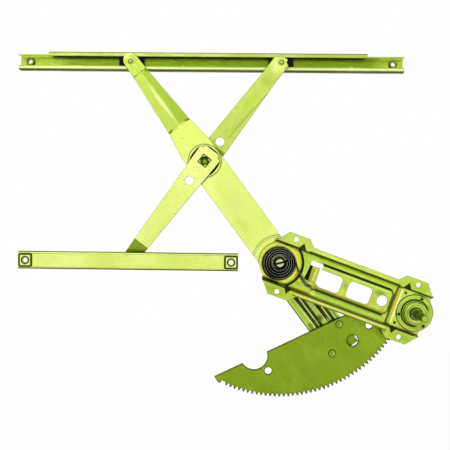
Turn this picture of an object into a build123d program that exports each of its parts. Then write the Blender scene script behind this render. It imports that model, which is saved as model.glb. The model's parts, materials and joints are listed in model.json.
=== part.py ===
from build123d import *
from math import acos, cos, degrees, hypot, pi, radians, sin, tan
import os

os.makedirs("parts", exist_ok=True)

# Frame: +X to the right and +Z up as installed, +Y away from the cabin. The origin is the middle
# of the back plate's four bolt holes, on the face of its ears that meets the door panel.

# Linkage: four equal half-arms, so that the glass rail rises straight and level
HALF_ARM = 183.0
REST_ANGLE = 53.0
PLATE_TILT = 19.8

# Gearing: 12 diametral pitch
MODULE = 25.4 / 12
PRESSURE_ANGLE = 25.0
SECTOR_FULL_TEETH = 184
SECTOR_TEETH = 50
TEETH_BEFORE_MESH = 2
PINION_TEETH = 11
PINION_WIDTH = 4.0
TOOTH_HEIGHT = 0.95
TOOTH_DEPTH = 1.25
TOOTH_THINNING = 0.15

# Sheet thicknesses and the clearances between layers
PLATE_SHEET = 1.8
ARM_SHEET = 3.0
EQUALIZER_SHEET = 2.5
SECTOR_SHEET = 3.0
CHANNEL_SHEET = 1.8
CHANNEL_BEND = 2.7
RUNNING_CLEARANCE = 0.05
FACE_GAP = 0.1
LAYER_GAP = 0.3
SLIDE_GAP = 0.4

# Back plate, measured from the main pivot towards the crank
SEAT_DEPTH = 13.2
PANEL_DEPTH = 8.6
BEAD_DEPTH = 6.2
BEAD_START = 57.0
BEAD_RISE = 6.0
BEAD_DRAFT = 50.0
PAD_DEPTH = 5.0
TROUGH_HALF = 29.6
SEAT_RADIUS = 33.9
PLATE_END_RADIUS = 29.6
PAD_END_RADIUS = 27.3
WALL_DRAFT = 2.0
FLANGE_HALF = 37.5
EAR_HOLE_SPACING = 186.0
EAR_HOLE_HALF = 40.0
EAR_HOLE_RADIUS = 3.7
EAR_HALF = 47.2
EAR_TOP_INNER = 18.7
EAR_TOP_OUTER = 12.1
EAR_FOOT_INNER = 28.3
EAR_FOOT_OUTER = 19.6
FLANGE_OVERHANG = 26.2
PANEL_TOP = 18.3
PANEL_BOTTOM = -16.0
PANEL_END = 168.6
PANEL_CORNER = 7.0
RAMP_START = 172.6
RAMP_LENGTH = 7.2
WINDOW_BOTTOM = -13.5
WINDOW_TOP = 11.4
WINDOW_CORNER = 6.0
FIRST_WINDOW_START = 55.2
FIRST_WINDOW_LENGTH = 40.0
SECOND_WINDOW_START = 105.4
SECOND_WINDOW_LENGTH = 35.6
PLATE_HOLE_AT = 158.2
PLATE_HOLE_RADIUS = 8.0
LANCE_START = 43.0
LANCE_LENGTH = 18.4
LANCE_HEIGHT = 9.0
LANCE_CORNER = 2.0
LANCE_OVERLAP = 1.0
TAB_FOOT = 43.4
TAB_KNEE = 46.6
TAB_TIP = 57.5
TAB_FRONT = 2.8
TAB_HALF = 11.0
TAB_LEAN = 2.0
POCKET_FROM_HOLE = 12.8
POCKET_LENGTH = 11.5
POCKET_WIDTH = 8.6
POCKET_DEPTH = 3.0
PAD_HOLE_BACK = 21.6
PAD_HOLE_HALF = 22.8
PAD_HOLE_RADIUS = 1.9

# Crank drum on the pad, and what turns in it
DRUM_FLANGE_RADIUS = 26.4
DRUM_SHEET = 1.6
DRUM_BASE_RADIUS = 17.6
DRUM_FACE_RADIUS = 15.5
DRUM_HEIGHT = 11.0
RIVET_CIRCLE = 22.5
RIVET_START = 64.0
RIVET_RADIUS = 1.9
RIVET_HEAD_RADIUS = 3.0
RIVET_HEAD = 0.9
CUT_MARGIN = 1.0
BUSHING_RADIUS = 9.0
BUSHING_LENGTH = 5.2
BUSHING_STANDS_OUT = 1.4
SPINDLE_RADIUS = 6.3
SPINDLE_TIP_RADIUS = 4.9
SPINDLE_TIP_LENGTH = 18.0
SPINDLE_SERRATED_LENGTH = 16.0
SERRATIONS = 20
SERRATION_DEPTH = 0.7
SPINDLE_COLLAR_RADIUS = 9.6
SPINDLE_COLLAR = 1.6
DRIVER_RADIUS = 8.6
SHANK_SIDE = 8.6
PINION_HUB_RADIUS = 8.0
PINION_WASHER_RADIUS = 9.5
PINION_WASHER_SHEET = 1.0
SPINDLE_HEAD = 1.2
SPINDLE_HEAD_RADIUS = 7.6
SPINDLE_CHAMFER = 1.0
BRAKE_WIRE = 1.5
BRAKE_WIRE_WIDTH = 1.4
BRAKE_COIL_RADIUS = 12.8
BRAKE_TURNS = 3
BRAKE_PITCH = 1.9

# Main pivot and its counterbalance spring
STUD_FRONT_RADIUS = 6.4
STUD_STANDS_OUT = 12.2
STUD_SLOT = 2.6
STUD_SLOT_DEPTH = 9.4
STUD_SLOT_ANGLE = 14.0
STUD_CHAMFER = 0.8
STUD_JOURNAL_RADIUS = 8.0
STUD_SHANK_RADIUS = 7.0
STUD_HEAD_RADIUS = 12.5
STUD_HEAD = 1.3
PIVOT_WASHER_RADIUS = 12.0
PIVOT_WASHER_SHEET = 0.9
SPRING_STRIP = 2.0
SPRING_WIDTH = 6.2
SPRING_PITCH = 2.9
SPRING_INNER_RADIUS = 10.4
SPRING_HALF_TURNS = 9
SPRING_LEAVES_AT = 28.0
SPRING_TAIL_BEND = (31.0, -2.8)
SPRING_TAIL_UNDER_TAB = (46.6, -16.4)
SPRING_TAIL_END = (54.6, -16.6)

# Lift arm
ARM_HALF = 24.6
ARM_LOWER_CREASE = 244.6
ARM_CREASE_HALF = 18.8
ARM_TAPER_START = 205.0
ARM_END_FLAT = 23.0
ARM_NECK_HALF = 11.6
ARM_END_RADIUS = 10.8
ARM_JOG = 5.5
ARM_TAIL = 161.0
ARM_RIDGE = 2.2
PIVOT_GROOVE_RADIUS = 40.0
PIVOT_GROOVE_WIDTH = 2.5
PIVOT_GROOVE_DEPTH = 0.6
TAIL_GROOVE_OFFSET = 9.6
TAIL_GROOVE_WIDTH = 11.0
TAIL_GROOVE_FLOOR = 4.0
TAIL_GROOVE_START = 46.0
TAIL_GROOVE_END = 116.0
TAIL_GROOVE_DEPTH = 2.0

# Toothed sector, angles clockwise from +X about the main pivot
CHORD_DISTANCE = 110.5
CHORD_ANGLE = 63.9
NOTCH_DISTANCE = 142.0
NOTCH_ANGLE = 104.35
NOTCH_RADIUS = 19.8
RELIEF_DISTANCE = 148.0
RELIEF_ANGLE = 22.0
RELIEF_RADIUS = 22.0
SMALL_HOLE_DISTANCE = 159.5
SMALL_HOLE_RADIUS = 5.2
SMALL_HOLE_SPREAD = 30.35
BLANK_TOOTH_START = 115.2
BLANK_TOOTH_END = 116.6
SECTOR_AXIS = 64.7
SIGHT_HOLE_ALONG = 155.0
SIGHT_HOLE_ASIDE = 18.3
SIGHT_HOLE_RADIUS = 8.2
UPPER_RIVET_ALONG = 124.5
UPPER_RIVET_ASIDE = 16.8
LOWER_RIVET_ALONG = 152.7
LOWER_RIVET_ASIDE = -16.5
SECTOR_RIVET_RADIUS = 3.2
SECTOR_RIVET_HEAD_RADIUS = 4.4
SECTOR_RIVET_HEAD = 1.0

# Equalizer arm: two halves on a square key that turns in the lift arm
KEY_SIDE = 14.5
KEY_CUP_RADIUS = 6.0
KEY_CUP_DEPTH = 4.0
KEY_CUP_DRAFT = 15.0
KEY_JOURNAL_RADIUS = 10.6
KEY_PROUD = 0.3
KEY_HEAD_RADIUS = 12.0
KEY_HEAD = 1.6
CROSS_WASHER_RADIUS = 24.0
CROSS_WASHER_SHEET = 0.9
CROSS_SPACER_RADIUS = 17.0
CROSS_SPACER_LENGTH = 2.9
EQUALIZER_ROOT_HALF = 18.4
EQUALIZER_NECK_AT = 151.0
EQUALIZER_NECK_HALF = 12.0
EQUALIZER_END_RADIUS = 11.0
EQUALIZER_ROOT_CUT = 19.0
EQUALIZER_CORNER = 6.5
EQUALIZER_BITE_RADIUS = 4.2
EQUALIZER_BITE_INSET = 1.5
EQUALIZER_HOLE_AT = 36.2
EQUALIZER_HOLE_RADIUS = 6.5
UPPER_END_CUT = 7.5
LOWER_JOG = 3.5
LOWER_JOG_LENGTH = 24.5
LOWER_FOOT_FLAT = 7.5

# Slides and their studs
SLIDE_LENGTH = 36.0
SLIDE_BODY = 4.2
LOWER_SLIDE_BODY = 4.0
SLIDE_CORNER = 4.0
SLIDE_STUD_RADIUS = 4.0
SLIDE_STUD_SHOULDER = 5.6
SLIDE_STUD_HEAD = 0.7
SLIDE_STUD_HEAD_RADIUS = 5.5

# Glass rail, measured from the equalizer's top pivot
RAIL_LEFT = 386.0
RAIL_RIGHT = 179.7
RAIL_HEIGHT = 27.0
RAIL_LIP_GAP = 14.0
RAIL_WALL_LEFT = 342.0
RAIL_WALL_RIGHT = 126.0
RAIL_CLEARANCE = 2.8
RAIL_NUT_LEFT = 371.7
RAIL_NUT_RIGHT = 165.5
RAIL_NUT_SIZE = 5.6
RAIL_NUT_THICKNESS = 3.0
RAIL_NUT_BORE = 3.2
RAIL_END_DROP = 4.4
RAIL_STOP_LEFT = 144.0
RAIL_STOP_RIGHT = 103.0
RAIL_STOP_LENGTH = 5.0
RAIL_STOP_HEIGHT = 1.6
RAIL_STOP_SLOPE = 60.0

# Lower guide channel, measured leftwards from the main pivot
CHANNEL_LEFT = 377.4
CHANNEL_RIGHT = 60.1
CHANNEL_HEIGHT = 25.5
CHANNEL_LIP_GAP = 13.4
CHANNEL_ARM_GAP = 0.6
CHANNEL_NUT_LEFT = 366.7
CHANNEL_NUT_RIGHT = 70.1
CHANNEL_NUT_SIDE = 19.5
CHANNEL_NUT_CORNER = 2.5
CHANNEL_NUT_BORE = 3.6
CHANNEL_NUT_PROUD = 0.8

# Everything below follows from the sizes above
SECTOR_PITCH_RADIUS = MODULE * SECTOR_FULL_TEETH / 2
PINION_PITCH_RADIUS = MODULE * PINION_TEETH / 2
CENTRE_DISTANCE = SECTOR_PITCH_RADIUS + PINION_PITCH_RADIUS
TOOTH_ANGLE = 360 / SECTOR_FULL_TEETH
ARM_ANGLE = 180 - REST_ANGLE
SECTOR_ROOT = SECTOR_PITCH_RADIUS - TOOTH_DEPTH * MODULE
SECTOR_TIP = SECTOR_PITCH_RADIUS + TOOTH_HEIGHT * MODULE
PINION_ROOT = PINION_PITCH_RADIUS - TOOTH_DEPTH * MODULE
PINION_TIP = PINION_PITCH_RADIUS + TOOTH_HEIGHT * MODULE
ARM_UPPER_CREASE = 2 * HALF_ARM - ARM_END_FLAT


def step(place, angle, distance):
    """The point this far from a place, at an angle counter-clockwise from +X."""
    return (
        place[0] + distance * cos(radians(angle)),
        place[1] + distance * sin(radians(angle)),
    )


PIVOT = step((0, 0), 180 - PLATE_TILT, CENTRE_DISTANCE / 2)
CRANK = step((0, 0), -PLATE_TILT, CENTRE_DISTANCE / 2)
CROSS = step(PIVOT, ARM_ANGLE, HALF_ARM)
ARM_TOP = step(PIVOT, ARM_ANGLE, 2 * HALF_ARM)
EQUALIZER_TOP = step(CROSS, REST_ANGLE, HALF_ARM)
EQUALIZER_FOOT = step(CROSS, REST_ANGLE + 180, HALF_ARM)

# Layers, as depths behind the ears' face
SEAT_BACK = SEAT_DEPTH + PLATE_SHEET
ARM_FRONT = SEAT_BACK + LAYER_GAP
ARM_BACK = ARM_FRONT + ARM_SHEET
SECTOR_FRONT = ARM_FRONT - SECTOR_SHEET
WASHER_BACK = ARM_FRONT - FACE_GAP
LOWER_BACK = WASHER_BACK - CROSS_WASHER_SHEET
LOWER_FRONT = LOWER_BACK - EQUALIZER_SHEET
UPPER_FRONT = ARM_BACK + FACE_GAP + CROSS_SPACER_LENGTH
UPPER_BACK = UPPER_FRONT + EQUALIZER_SHEET
ARM_END_FRONT = ARM_FRONT + ARM_JOG
FOOT_FRONT = LOWER_FRONT + LOWER_JOG
RAIL_FRONT = UPPER_BACK + RAIL_CLEARANCE
RAIL_SLIDE_FRONT = RAIL_FRONT + CHANNEL_SHEET + SLIDE_GAP
RAIL_FLOOR = RAIL_SLIDE_FRONT + SLIDE_BODY + SLIDE_GAP + RAIL_NUT_THICKNESS
CHANNEL_BACK = LOWER_FRONT - CHANNEL_ARM_GAP
LOWER_SLIDE_BACK = CHANNEL_BACK - CHANNEL_SHEET - SLIDE_GAP
LOWER_SLIDE_FRONT = LOWER_SLIDE_BACK - LOWER_SLIDE_BODY
CHANNEL_NUT_BACK = LOWER_SLIDE_FRONT - SLIDE_GAP
CHANNEL_FACE = CHANNEL_NUT_PROUD
PINION_MIDDLE = SECTOR_FRONT + SECTOR_SHEET / 2
PINION_FRONT = PINION_MIDDLE - PINION_WIDTH / 2
DRUM_FACE = PAD_DEPTH - DRUM_HEIGHT


def heading(angle):
    """The direction at an angle, parallel to the door panel."""
    return (cos(radians(angle)), 0, sin(radians(angle)))


def facing(place, angle, depth):
    """A plane parallel to the door panel: local x at this angle, its normal towards the cabin."""
    return Plane(
        origin=(place[0], depth, place[1]),
        x_dir=heading(angle),
        z_dir=(0, -1, 0),
    )


def edgewise(place, angle):
    """A plane that cuts the sheets: local x at this angle, local y the depth."""
    return Plane(
        origin=(place[0], 0, place[1]),
        x_dir=heading(angle),
        z_dir=(-sin(radians(angle)), 0, cos(radians(angle))),
    )


def turned(place):
    """A plane through an axis along Y, for turned pieces: local x the radius, local y the depth."""
    return edgewise(place, 0)


def axis_at(place):
    """The depth axis through a place."""
    return Axis((place[0], 0, place[1]), (0, 1, 0))


def export(part, label):
    """Name a finished piece and write it to its file."""
    part.label = label
    export_step(part, f"parts/{label}.step")


def involute(angle):
    """How far an involute has rolled at this pressure angle, in radians."""
    return tan(angle) - angle


def half_tooth(radius, teeth):
    """Half the angle that a tooth fills at a radius, in degrees."""
    pitch_radius = MODULE * teeth / 2
    base_radius = pitch_radius * cos(radians(PRESSURE_ANGLE))
    here = acos(base_radius / max(radius, base_radius))
    at_pitch = (pi * MODULE / 2 - TOOTH_THINNING) / 2 / pitch_radius
    return (at_pitch + involute(radians(PRESSURE_ANGLE)) - involute(here)) * 180 / pi


def tooth_outline(teeth, radii):
    """One tooth on the +X axis, from inside its root circle out to its tip."""
    flank = [step((0, 0), half_tooth(radius, teeth), radius) for radius in radii]
    inside = (radii[0] - MODULE / 2, flank[0][1])
    return [inside, *flank, *[(x, -y) for x, y in reversed(flank)], (inside[0], -inside[1])]


def layered_strip(place, angle, front_line, sheet, reach):
    """A sheet that follows a front line of (distance, depth) points, wide enough to be trimmed."""
    back_line = [(along, depth + sheet) for along, depth in front_line]
    with BuildPart() as strip:
        with BuildSketch(edgewise(place, angle)):
            with BuildLine():
                Polyline(*front_line, *reversed(back_line), close=True)
            make_face()
        extrude(amount=reach, both=True)
    return strip.part


def stepped(front, *stages):
    """The half outline of a turned piece: each stage is a radius and the depth it runs to."""
    points = [(0, front)]
    depth = front
    for radius, back in stages:
        points += [(radius, depth), (radius, back)]
        depth = back
    return [*points, (0, depth)]


def tapered(stations):
    """A strip's outline from (distance, half width) stations along it."""
    return [*stations, *[(along, -half) for along, half in reversed(stations)]]


# Back plate: a pressed pan with ears, a round seat, a beaded panel and a raised pad for the crank
PLATE_ANGLE = -PLATE_TILT
ACROSS_PLATE = PLATE_ANGLE + 90
PLATE_MIDDLE = CENTRE_DISTANCE / 2
EAR_HOLE_AT = PLATE_MIDDLE - EAR_HOLE_SPACING / 2
FLANGE_START = EAR_HOLE_AT - FLANGE_OVERHANG
FLANGE_END = 2 * PLATE_MIDDLE - FLANGE_START
FLOOR_HALF = TROUGH_HALF - WALL_DRAFT
PAD_REACH = CENTRE_DISTANCE + PAD_END_RADIUS


def along_plate(distance):
    """A place on the plate's centre line, measured from the main pivot."""
    return step(PIVOT, PLATE_ANGLE, distance)


def beads(deeper):
    """The raised frame round the panel: two long beads that meet past the round hole."""
    floor = PANEL_DEPTH + deeper
    crest = BEAD_DEPTH + deeper
    panel_length = PANEL_END - BEAD_START + 2 * PANEL_CORNER
    with BuildPart() as frame:
        with BuildSketch(edgewise(PIVOT, PLATE_ANGLE)):
            with BuildLine():
                Polyline(
                    (BEAD_START, floor + CUT_MARGIN),
                    (BEAD_START, floor),
                    (BEAD_START + BEAD_RISE, crest),
                    (RAMP_START, crest),
                    (RAMP_START, floor + CUT_MARGIN),
                    close=True,
                )
            make_face()
        extrude(amount=FLANGE_HALF, both=True)
        with BuildSketch(facing(PIVOT, PLATE_ANGLE, floor)):
            with Locations((PANEL_END - panel_length / 2, (PANEL_TOP + PANEL_BOTTOM) / 2)):
                RectangleRounded(panel_length, PANEL_TOP - PANEL_BOTTOM, PANEL_CORNER)
        extrude(amount=floor - crest, taper=-BEAD_DRAFT, mode=Mode.SUBTRACT)
        with BuildSketch(facing(PIVOT, PLATE_ANGLE, floor)):
            with Locations((PANEL_END - panel_length / 2, (PANEL_TOP + PANEL_BOTTOM) / 2)):
                RectangleRounded(panel_length, PANEL_TOP - PANEL_BOTTOM, PANEL_CORNER)
        extrude(amount=-CUT_MARGIN, mode=Mode.SUBTRACT)
    return frame.part


def trough(grow, front, start, end):
    """The plain trough between two places on the centre line, with drafted walls."""
    top = TROUGH_HALF + grow
    foot = FLOOR_HALF + grow
    floor = PANEL_DEPTH + grow
    with BuildPart() as room:
        with BuildSketch(edgewise(along_plate(start), ACROSS_PLATE)):
            with BuildLine():
                Polyline((top, 0), (foot, floor), (-foot, floor), (-top, 0), close=True)
            make_face()
        extrude(amount=-(end - start))
        if front < 0:
            with BuildSketch(edgewise(along_plate(start), ACROSS_PLATE)):
                with Locations((0, front / 2)):
                    Rectangle(2 * top, -front)
            extrude(amount=-(end - start))
    return room.part


def pad_room(grow, front):
    """The part of the trough over the ramp and the raised pad."""
    with BuildPart() as room:
        add(trough(grow, front, RAMP_START, PAD_REACH + CUT_MARGIN))
        with BuildSketch(edgewise(PIVOT, PLATE_ANGLE)):
            with BuildLine():
                Polyline(
                    (RAMP_START, front),
                    (RAMP_START, PANEL_DEPTH + grow),
                    (RAMP_START + RAMP_LENGTH, PAD_DEPTH + grow),
                    (PAD_REACH + CUT_MARGIN, PAD_DEPTH + grow),
                    (PAD_REACH + CUT_MARGIN, front),
                    close=True,
                )
            make_face()
        extrude(amount=FLANGE_HALF, both=True, mode=Mode.INTERSECT)
    return room.part


def seat_room(grow, front):
    """The round seat's recess at the main pivot, between the trough's walls."""
    with BuildPart() as room:
        with BuildSketch(facing(PIVOT, PLATE_ANGLE, SEAT_DEPTH + grow)):
            Circle(SEAT_RADIUS + grow)
            Rectangle(3 * SEAT_RADIUS, 2 * (FLOOR_HALF + grow), mode=Mode.INTERSECT)
        extrude(amount=SEAT_DEPTH + grow - front)
    return room.part


def hollow(grow, front):
    """The plate's inside form, or its outside form when grown by the sheet's thickness."""
    with BuildPart() as form:
        add(trough(grow, front, -SEAT_RADIUS, RAMP_START))
        add(beads(grow), mode=Mode.SUBTRACT)
        add(seat_room(grow, front))
        add(pad_room(grow, front))
    return form.part


outside = hollow(PLATE_SHEET, 0)
inside = hollow(0, -CUT_MARGIN)

half_ear = [
    (FLANGE_START, TROUGH_HALF),
    (EAR_HOLE_AT - EAR_FOOT_OUTER, FLANGE_HALF),
    (EAR_HOLE_AT - EAR_TOP_OUTER, EAR_HALF),
    (EAR_HOLE_AT + EAR_TOP_INNER, EAR_HALF),
    (EAR_HOLE_AT + EAR_FOOT_INNER, FLANGE_HALF),
]
upper_edge = half_ear + [(2 * PLATE_MIDDLE - u, v) for u, v in reversed(half_ear)]
pocket_middle = EAR_HOLE_AT + POCKET_FROM_HOLE


def pockets(grow):
    """The three-cornered pockets pressed in beside the ears, with their bases on the trough's walls."""
    slant = hypot(POCKET_LENGTH / 2, POCKET_WIDTH)
    larger = 1 + 2 * grow * slant / (POCKET_LENGTH * POCKET_WIDTH)
    half_length = larger * POCKET_LENGTH / 2
    half_width = larger * POCKET_WIDTH
    for side in (-1, 1):
        for middle in (pocket_middle, 2 * PLATE_MIDDLE - pocket_middle):
            with Locations((middle, side * TROUGH_HALF)):
                Polygon((-half_length, 0), (0, -half_width), (half_length, 0), (0, half_width))


with BuildPart() as back_plate:
    add(outside)
    with BuildSketch(facing(PIVOT, PLATE_ANGLE, 0)):
        Circle(PLATE_END_RADIUS)
        with Locations(((FLANGE_START + FLANGE_END) / 2, 0)):
            Rectangle(FLANGE_END - FLANGE_START, 2 * FLANGE_HALF)
        with Locations((CENTRE_DISTANCE, 0)):
            Circle(PAD_END_RADIUS)
    extrude(amount=-2 * SEAT_DEPTH, mode=Mode.INTERSECT)
    with BuildSketch(facing(PIVOT, PLATE_ANGLE, 0)):
        with BuildLine():
            Polyline(*upper_edge, *[(u, -v) for u, v in reversed(upper_edge)], close=True)
        make_face()
    extrude(amount=-PLATE_SHEET)
    with BuildSketch(facing(PIVOT, PLATE_ANGLE, 0)):
        pockets(PLATE_SHEET)
    extrude(amount=-POCKET_DEPTH - PLATE_SHEET)
    add(inside, mode=Mode.SUBTRACT)
    with BuildSketch(facing(PIVOT, PLATE_ANGLE, 0)):
        pockets(0)
    extrude(amount=-POCKET_DEPTH, mode=Mode.SUBTRACT)
    with BuildSketch(facing(PIVOT, PLATE_ANGLE, 0)):
        with Locations((PLATE_MIDDLE, 0)):
            with GridLocations(EAR_HOLE_SPACING, 2 * EAR_HOLE_HALF, 2, 2):
                Circle(EAR_HOLE_RADIUS)
    extrude(amount=-PLATE_SHEET, mode=Mode.SUBTRACT)
    with BuildSketch(facing(PIVOT, PLATE_ANGLE, PANEL_DEPTH - CUT_MARGIN)):
        window_middle = (WINDOW_TOP + WINDOW_BOTTOM) / 2
        window_height = WINDOW_TOP - WINDOW_BOTTOM
        with Locations((FIRST_WINDOW_START + FIRST_WINDOW_LENGTH / 2, window_middle)):
            RectangleRounded(FIRST_WINDOW_LENGTH, window_height, WINDOW_CORNER)
        with Locations((SECOND_WINDOW_START + SECOND_WINDOW_LENGTH / 2, window_middle)):
            RectangleRounded(SECOND_WINDOW_LENGTH, window_height, WINDOW_CORNER)
        with Locations((PLATE_HOLE_AT, 0)):
            Circle(PLATE_HOLE_RADIUS)
        lance_middle = WINDOW_TOP - LANCE_OVERLAP + LANCE_HEIGHT / 2
        with Locations((LANCE_START + LANCE_LENGTH / 2, lance_middle)):
            RectangleRounded(LANCE_LENGTH, LANCE_HEIGHT, LANCE_CORNER)
    extrude(amount=-(PLATE_SHEET + 2 * CUT_MARGIN), mode=Mode.SUBTRACT)
    add(
        layered_strip(
            PIVOT,
            PLATE_ANGLE + TAB_LEAN,
            [(TAB_FOOT, PANEL_DEPTH), (TAB_KNEE, TAB_FRONT), (TAB_TIP, TAB_FRONT)],
            PLATE_SHEET,
            TAB_HALF,
        )
    )
    with BuildSketch(facing(PIVOT, 0, SEAT_DEPTH)):
        Circle(STUD_JOURNAL_RADIUS + RUNNING_CLEARANCE)
    extrude(amount=-PLATE_SHEET, mode=Mode.SUBTRACT)
    with BuildSketch(facing(CRANK, PLATE_ANGLE, PAD_DEPTH)):
        Circle(PINION_HUB_RADIUS + RUNNING_CLEARANCE)
        with Locations((-PAD_HOLE_BACK, PAD_HOLE_HALF), (-PAD_HOLE_BACK, -PAD_HOLE_HALF)):
            Circle(PAD_HOLE_RADIUS)
    extrude(amount=-PLATE_SHEET, mode=Mode.SUBTRACT)
    with BuildSketch(facing(CRANK, 0, PAD_DEPTH)):
        with PolarLocations(RIVET_CIRCLE, 3, start_angle=RIVET_START):
            Circle(RIVET_RADIUS)
    extrude(amount=-PLATE_SHEET, mode=Mode.SUBTRACT)
export(back_plate.part, "back_plate")

# Crank drum: a cup with a wide flange, held to the pad by three rivets
DRUM_BACK_LIP = PAD_DEPTH - DRUM_SHEET
with BuildPart() as clutch_housing:
    with BuildSketch(turned(CRANK)):
        with BuildLine():
            Polyline(
                (BUSHING_RADIUS, DRUM_FACE),
                (DRUM_FACE_RADIUS - DRUM_SHEET, DRUM_FACE),
                (DRUM_FACE_RADIUS, DRUM_FACE + DRUM_SHEET),
                (DRUM_BASE_RADIUS, DRUM_BACK_LIP),
                (DRUM_FLANGE_RADIUS, DRUM_BACK_LIP),
                (DRUM_FLANGE_RADIUS, PAD_DEPTH),
                (DRUM_BASE_RADIUS - DRUM_SHEET, PAD_DEPTH),
                (DRUM_FACE_RADIUS - DRUM_SHEET, DRUM_FACE + DRUM_SHEET),
                (BUSHING_RADIUS, DRUM_FACE + DRUM_SHEET),
                close=True,
            )
        make_face()
    revolve(axis=axis_at(CRANK))
    with BuildSketch(facing(CRANK, 0, DRUM_BACK_LIP)):
        with PolarLocations(RIVET_CIRCLE, 3, start_angle=RIVET_START):
            Circle(RIVET_RADIUS)
    extrude(amount=-DRUM_SHEET, mode=Mode.SUBTRACT)
export(clutch_housing.part, "clutch_housing")

with BuildPart() as housing_rivets:
    with BuildSketch(facing(CRANK, 0, DRUM_BACK_LIP)):
        with PolarLocations(RIVET_CIRCLE, 3, start_angle=RIVET_START):
            Circle(RIVET_HEAD_RADIUS)
    extrude(amount=RIVET_HEAD)
    with BuildSketch(facing(CRANK, 0, DRUM_BACK_LIP)):
        with PolarLocations(RIVET_CIRCLE, 3, start_angle=RIVET_START):
            Circle(RIVET_RADIUS)
    extrude(amount=-(DRUM_SHEET + PLATE_SHEET))
    with BuildSketch(facing(CRANK, 0, PAD_DEPTH + PLATE_SHEET)):
        with PolarLocations(RIVET_CIRCLE, 3, start_angle=RIVET_START):
            Circle(RIVET_HEAD_RADIUS)
    extrude(amount=-RIVET_HEAD)
export(housing_rivets.part, "housing_rivets")

BUSHING_FRONT = DRUM_FACE - BUSHING_STANDS_OUT
BUSHING_BACK = BUSHING_FRONT + BUSHING_LENGTH
with BuildPart() as spindle_bushing:
    with BuildSketch(facing(CRANK, 0, BUSHING_FRONT)):
        Circle(BUSHING_RADIUS)
        Circle(SPINDLE_RADIUS + RUNNING_CLEARANCE, mode=Mode.SUBTRACT)
    extrude(amount=-BUSHING_LENGTH)
export(spindle_bushing.part, "spindle_bushing")

COLLAR_FRONT = BUSHING_BACK + FACE_GAP
COLLAR_BACK = COLLAR_FRONT + SPINDLE_COLLAR
PINION_BACK = PINION_FRONT + PINION_WIDTH
WASHER_END = PINION_BACK + PINION_WASHER_SHEET
HUB_FRONT = PAD_DEPTH - LAYER_GAP
SERRATED_FRONT = BUSHING_FRONT - SPINDLE_SERRATED_LENGTH
TIP_FRONT = SERRATED_FRONT - SPINDLE_TIP_LENGTH
with BuildPart() as spindle:
    with BuildSketch(turned(CRANK)):
        with BuildLine():
            Polyline(
                *stepped(
                    TIP_FRONT,
                    (SPINDLE_TIP_RADIUS, SERRATED_FRONT),
                    (SPINDLE_RADIUS, COLLAR_FRONT),
                    (SPINDLE_COLLAR_RADIUS, COLLAR_BACK),
                    (DRIVER_RADIUS, HUB_FRONT),
                ),
                close=True,
            )
        make_face()
    revolve(axis=axis_at(CRANK))
    tip_rim = spindle.edges().filter_by(GeomType.CIRCLE).sort_by(Axis.Y)[0]
    chamfer(tip_rim, length=SPINDLE_CHAMFER)
    with BuildSketch(facing(CRANK, 0, SERRATED_FRONT)):
        with PolarLocations(SPINDLE_RADIUS, SERRATIONS):
            RegularPolygon(SERRATION_DEPTH, 4)
    extrude(amount=-(SPINDLE_SERRATED_LENGTH - SPINDLE_CHAMFER), mode=Mode.SUBTRACT)
    with BuildSketch(facing(CRANK, PLATE_ANGLE, HUB_FRONT)):
        Rectangle(SHANK_SIDE, SHANK_SIDE)
    extrude(amount=-(WASHER_END - HUB_FRONT))
    with BuildSketch(facing(CRANK, 0, WASHER_END)):
        Circle(SPINDLE_HEAD_RADIUS)
    extrude(amount=-SPINDLE_HEAD)
export(spindle.part, "spindle")

with BuildPart() as pinion:
    with BuildSketch(facing(CRANK, 180 - PLATE_TILT, PINION_FRONT)):
        Circle(PINION_ROOT)
        with PolarLocations(0, PINION_TEETH):
            pinion_base = PINION_PITCH_RADIUS * cos(radians(PRESSURE_ANGLE))
            Polygon(
                *tooth_outline(PINION_TEETH, (PINION_ROOT, pinion_base, PINION_PITCH_RADIUS, PINION_TIP)),
                align=None,
            )
    extrude(amount=-PINION_WIDTH)
    with BuildSketch(facing(CRANK, 0, HUB_FRONT)):
        Circle(PINION_HUB_RADIUS)
    extrude(amount=-(PINION_FRONT - HUB_FRONT))
    with BuildSketch(facing(CRANK, PLATE_ANGLE, HUB_FRONT)):
        Rectangle(SHANK_SIDE, SHANK_SIDE)
    extrude(amount=-(PINION_BACK - HUB_FRONT), mode=Mode.SUBTRACT)
export(pinion.part, "pinion")

with BuildPart() as pinion_washer:
    with BuildSketch(facing(CRANK, PLATE_ANGLE, PINION_BACK)):
        Circle(PINION_WASHER_RADIUS)
        Rectangle(SHANK_SIDE, SHANK_SIDE, mode=Mode.SUBTRACT)
    extrude(amount=-PINION_WASHER_SHEET)
export(pinion_washer.part, "pinion_washer")

# Wrap spring that grips the drum's wall and holds the window where the crank leaves it
BRAKE_START = DRUM_FACE + DRUM_SHEET + BRAKE_WIRE_WIDTH / 2 + FACE_GAP
with BuildPart() as brake_spring:
    with BuildLine() as coil:
        Helix(
            pitch=BRAKE_PITCH,
            height=BRAKE_PITCH * BRAKE_TURNS,
            radius=BRAKE_COIL_RADIUS,
            center=(CRANK[0], BRAKE_START, CRANK[1]),
            direction=(0, 1, 0),
        )
    with BuildSketch(Plane(coil.line @ 0, x_dir=(1, 0, 0), z_dir=coil.line % 0)):
        Rectangle(BRAKE_WIRE, BRAKE_WIRE_WIDTH)
    sweep(path=coil.line, is_frenet=True)
export(brake_spring.part, "brake_spring")

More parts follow.
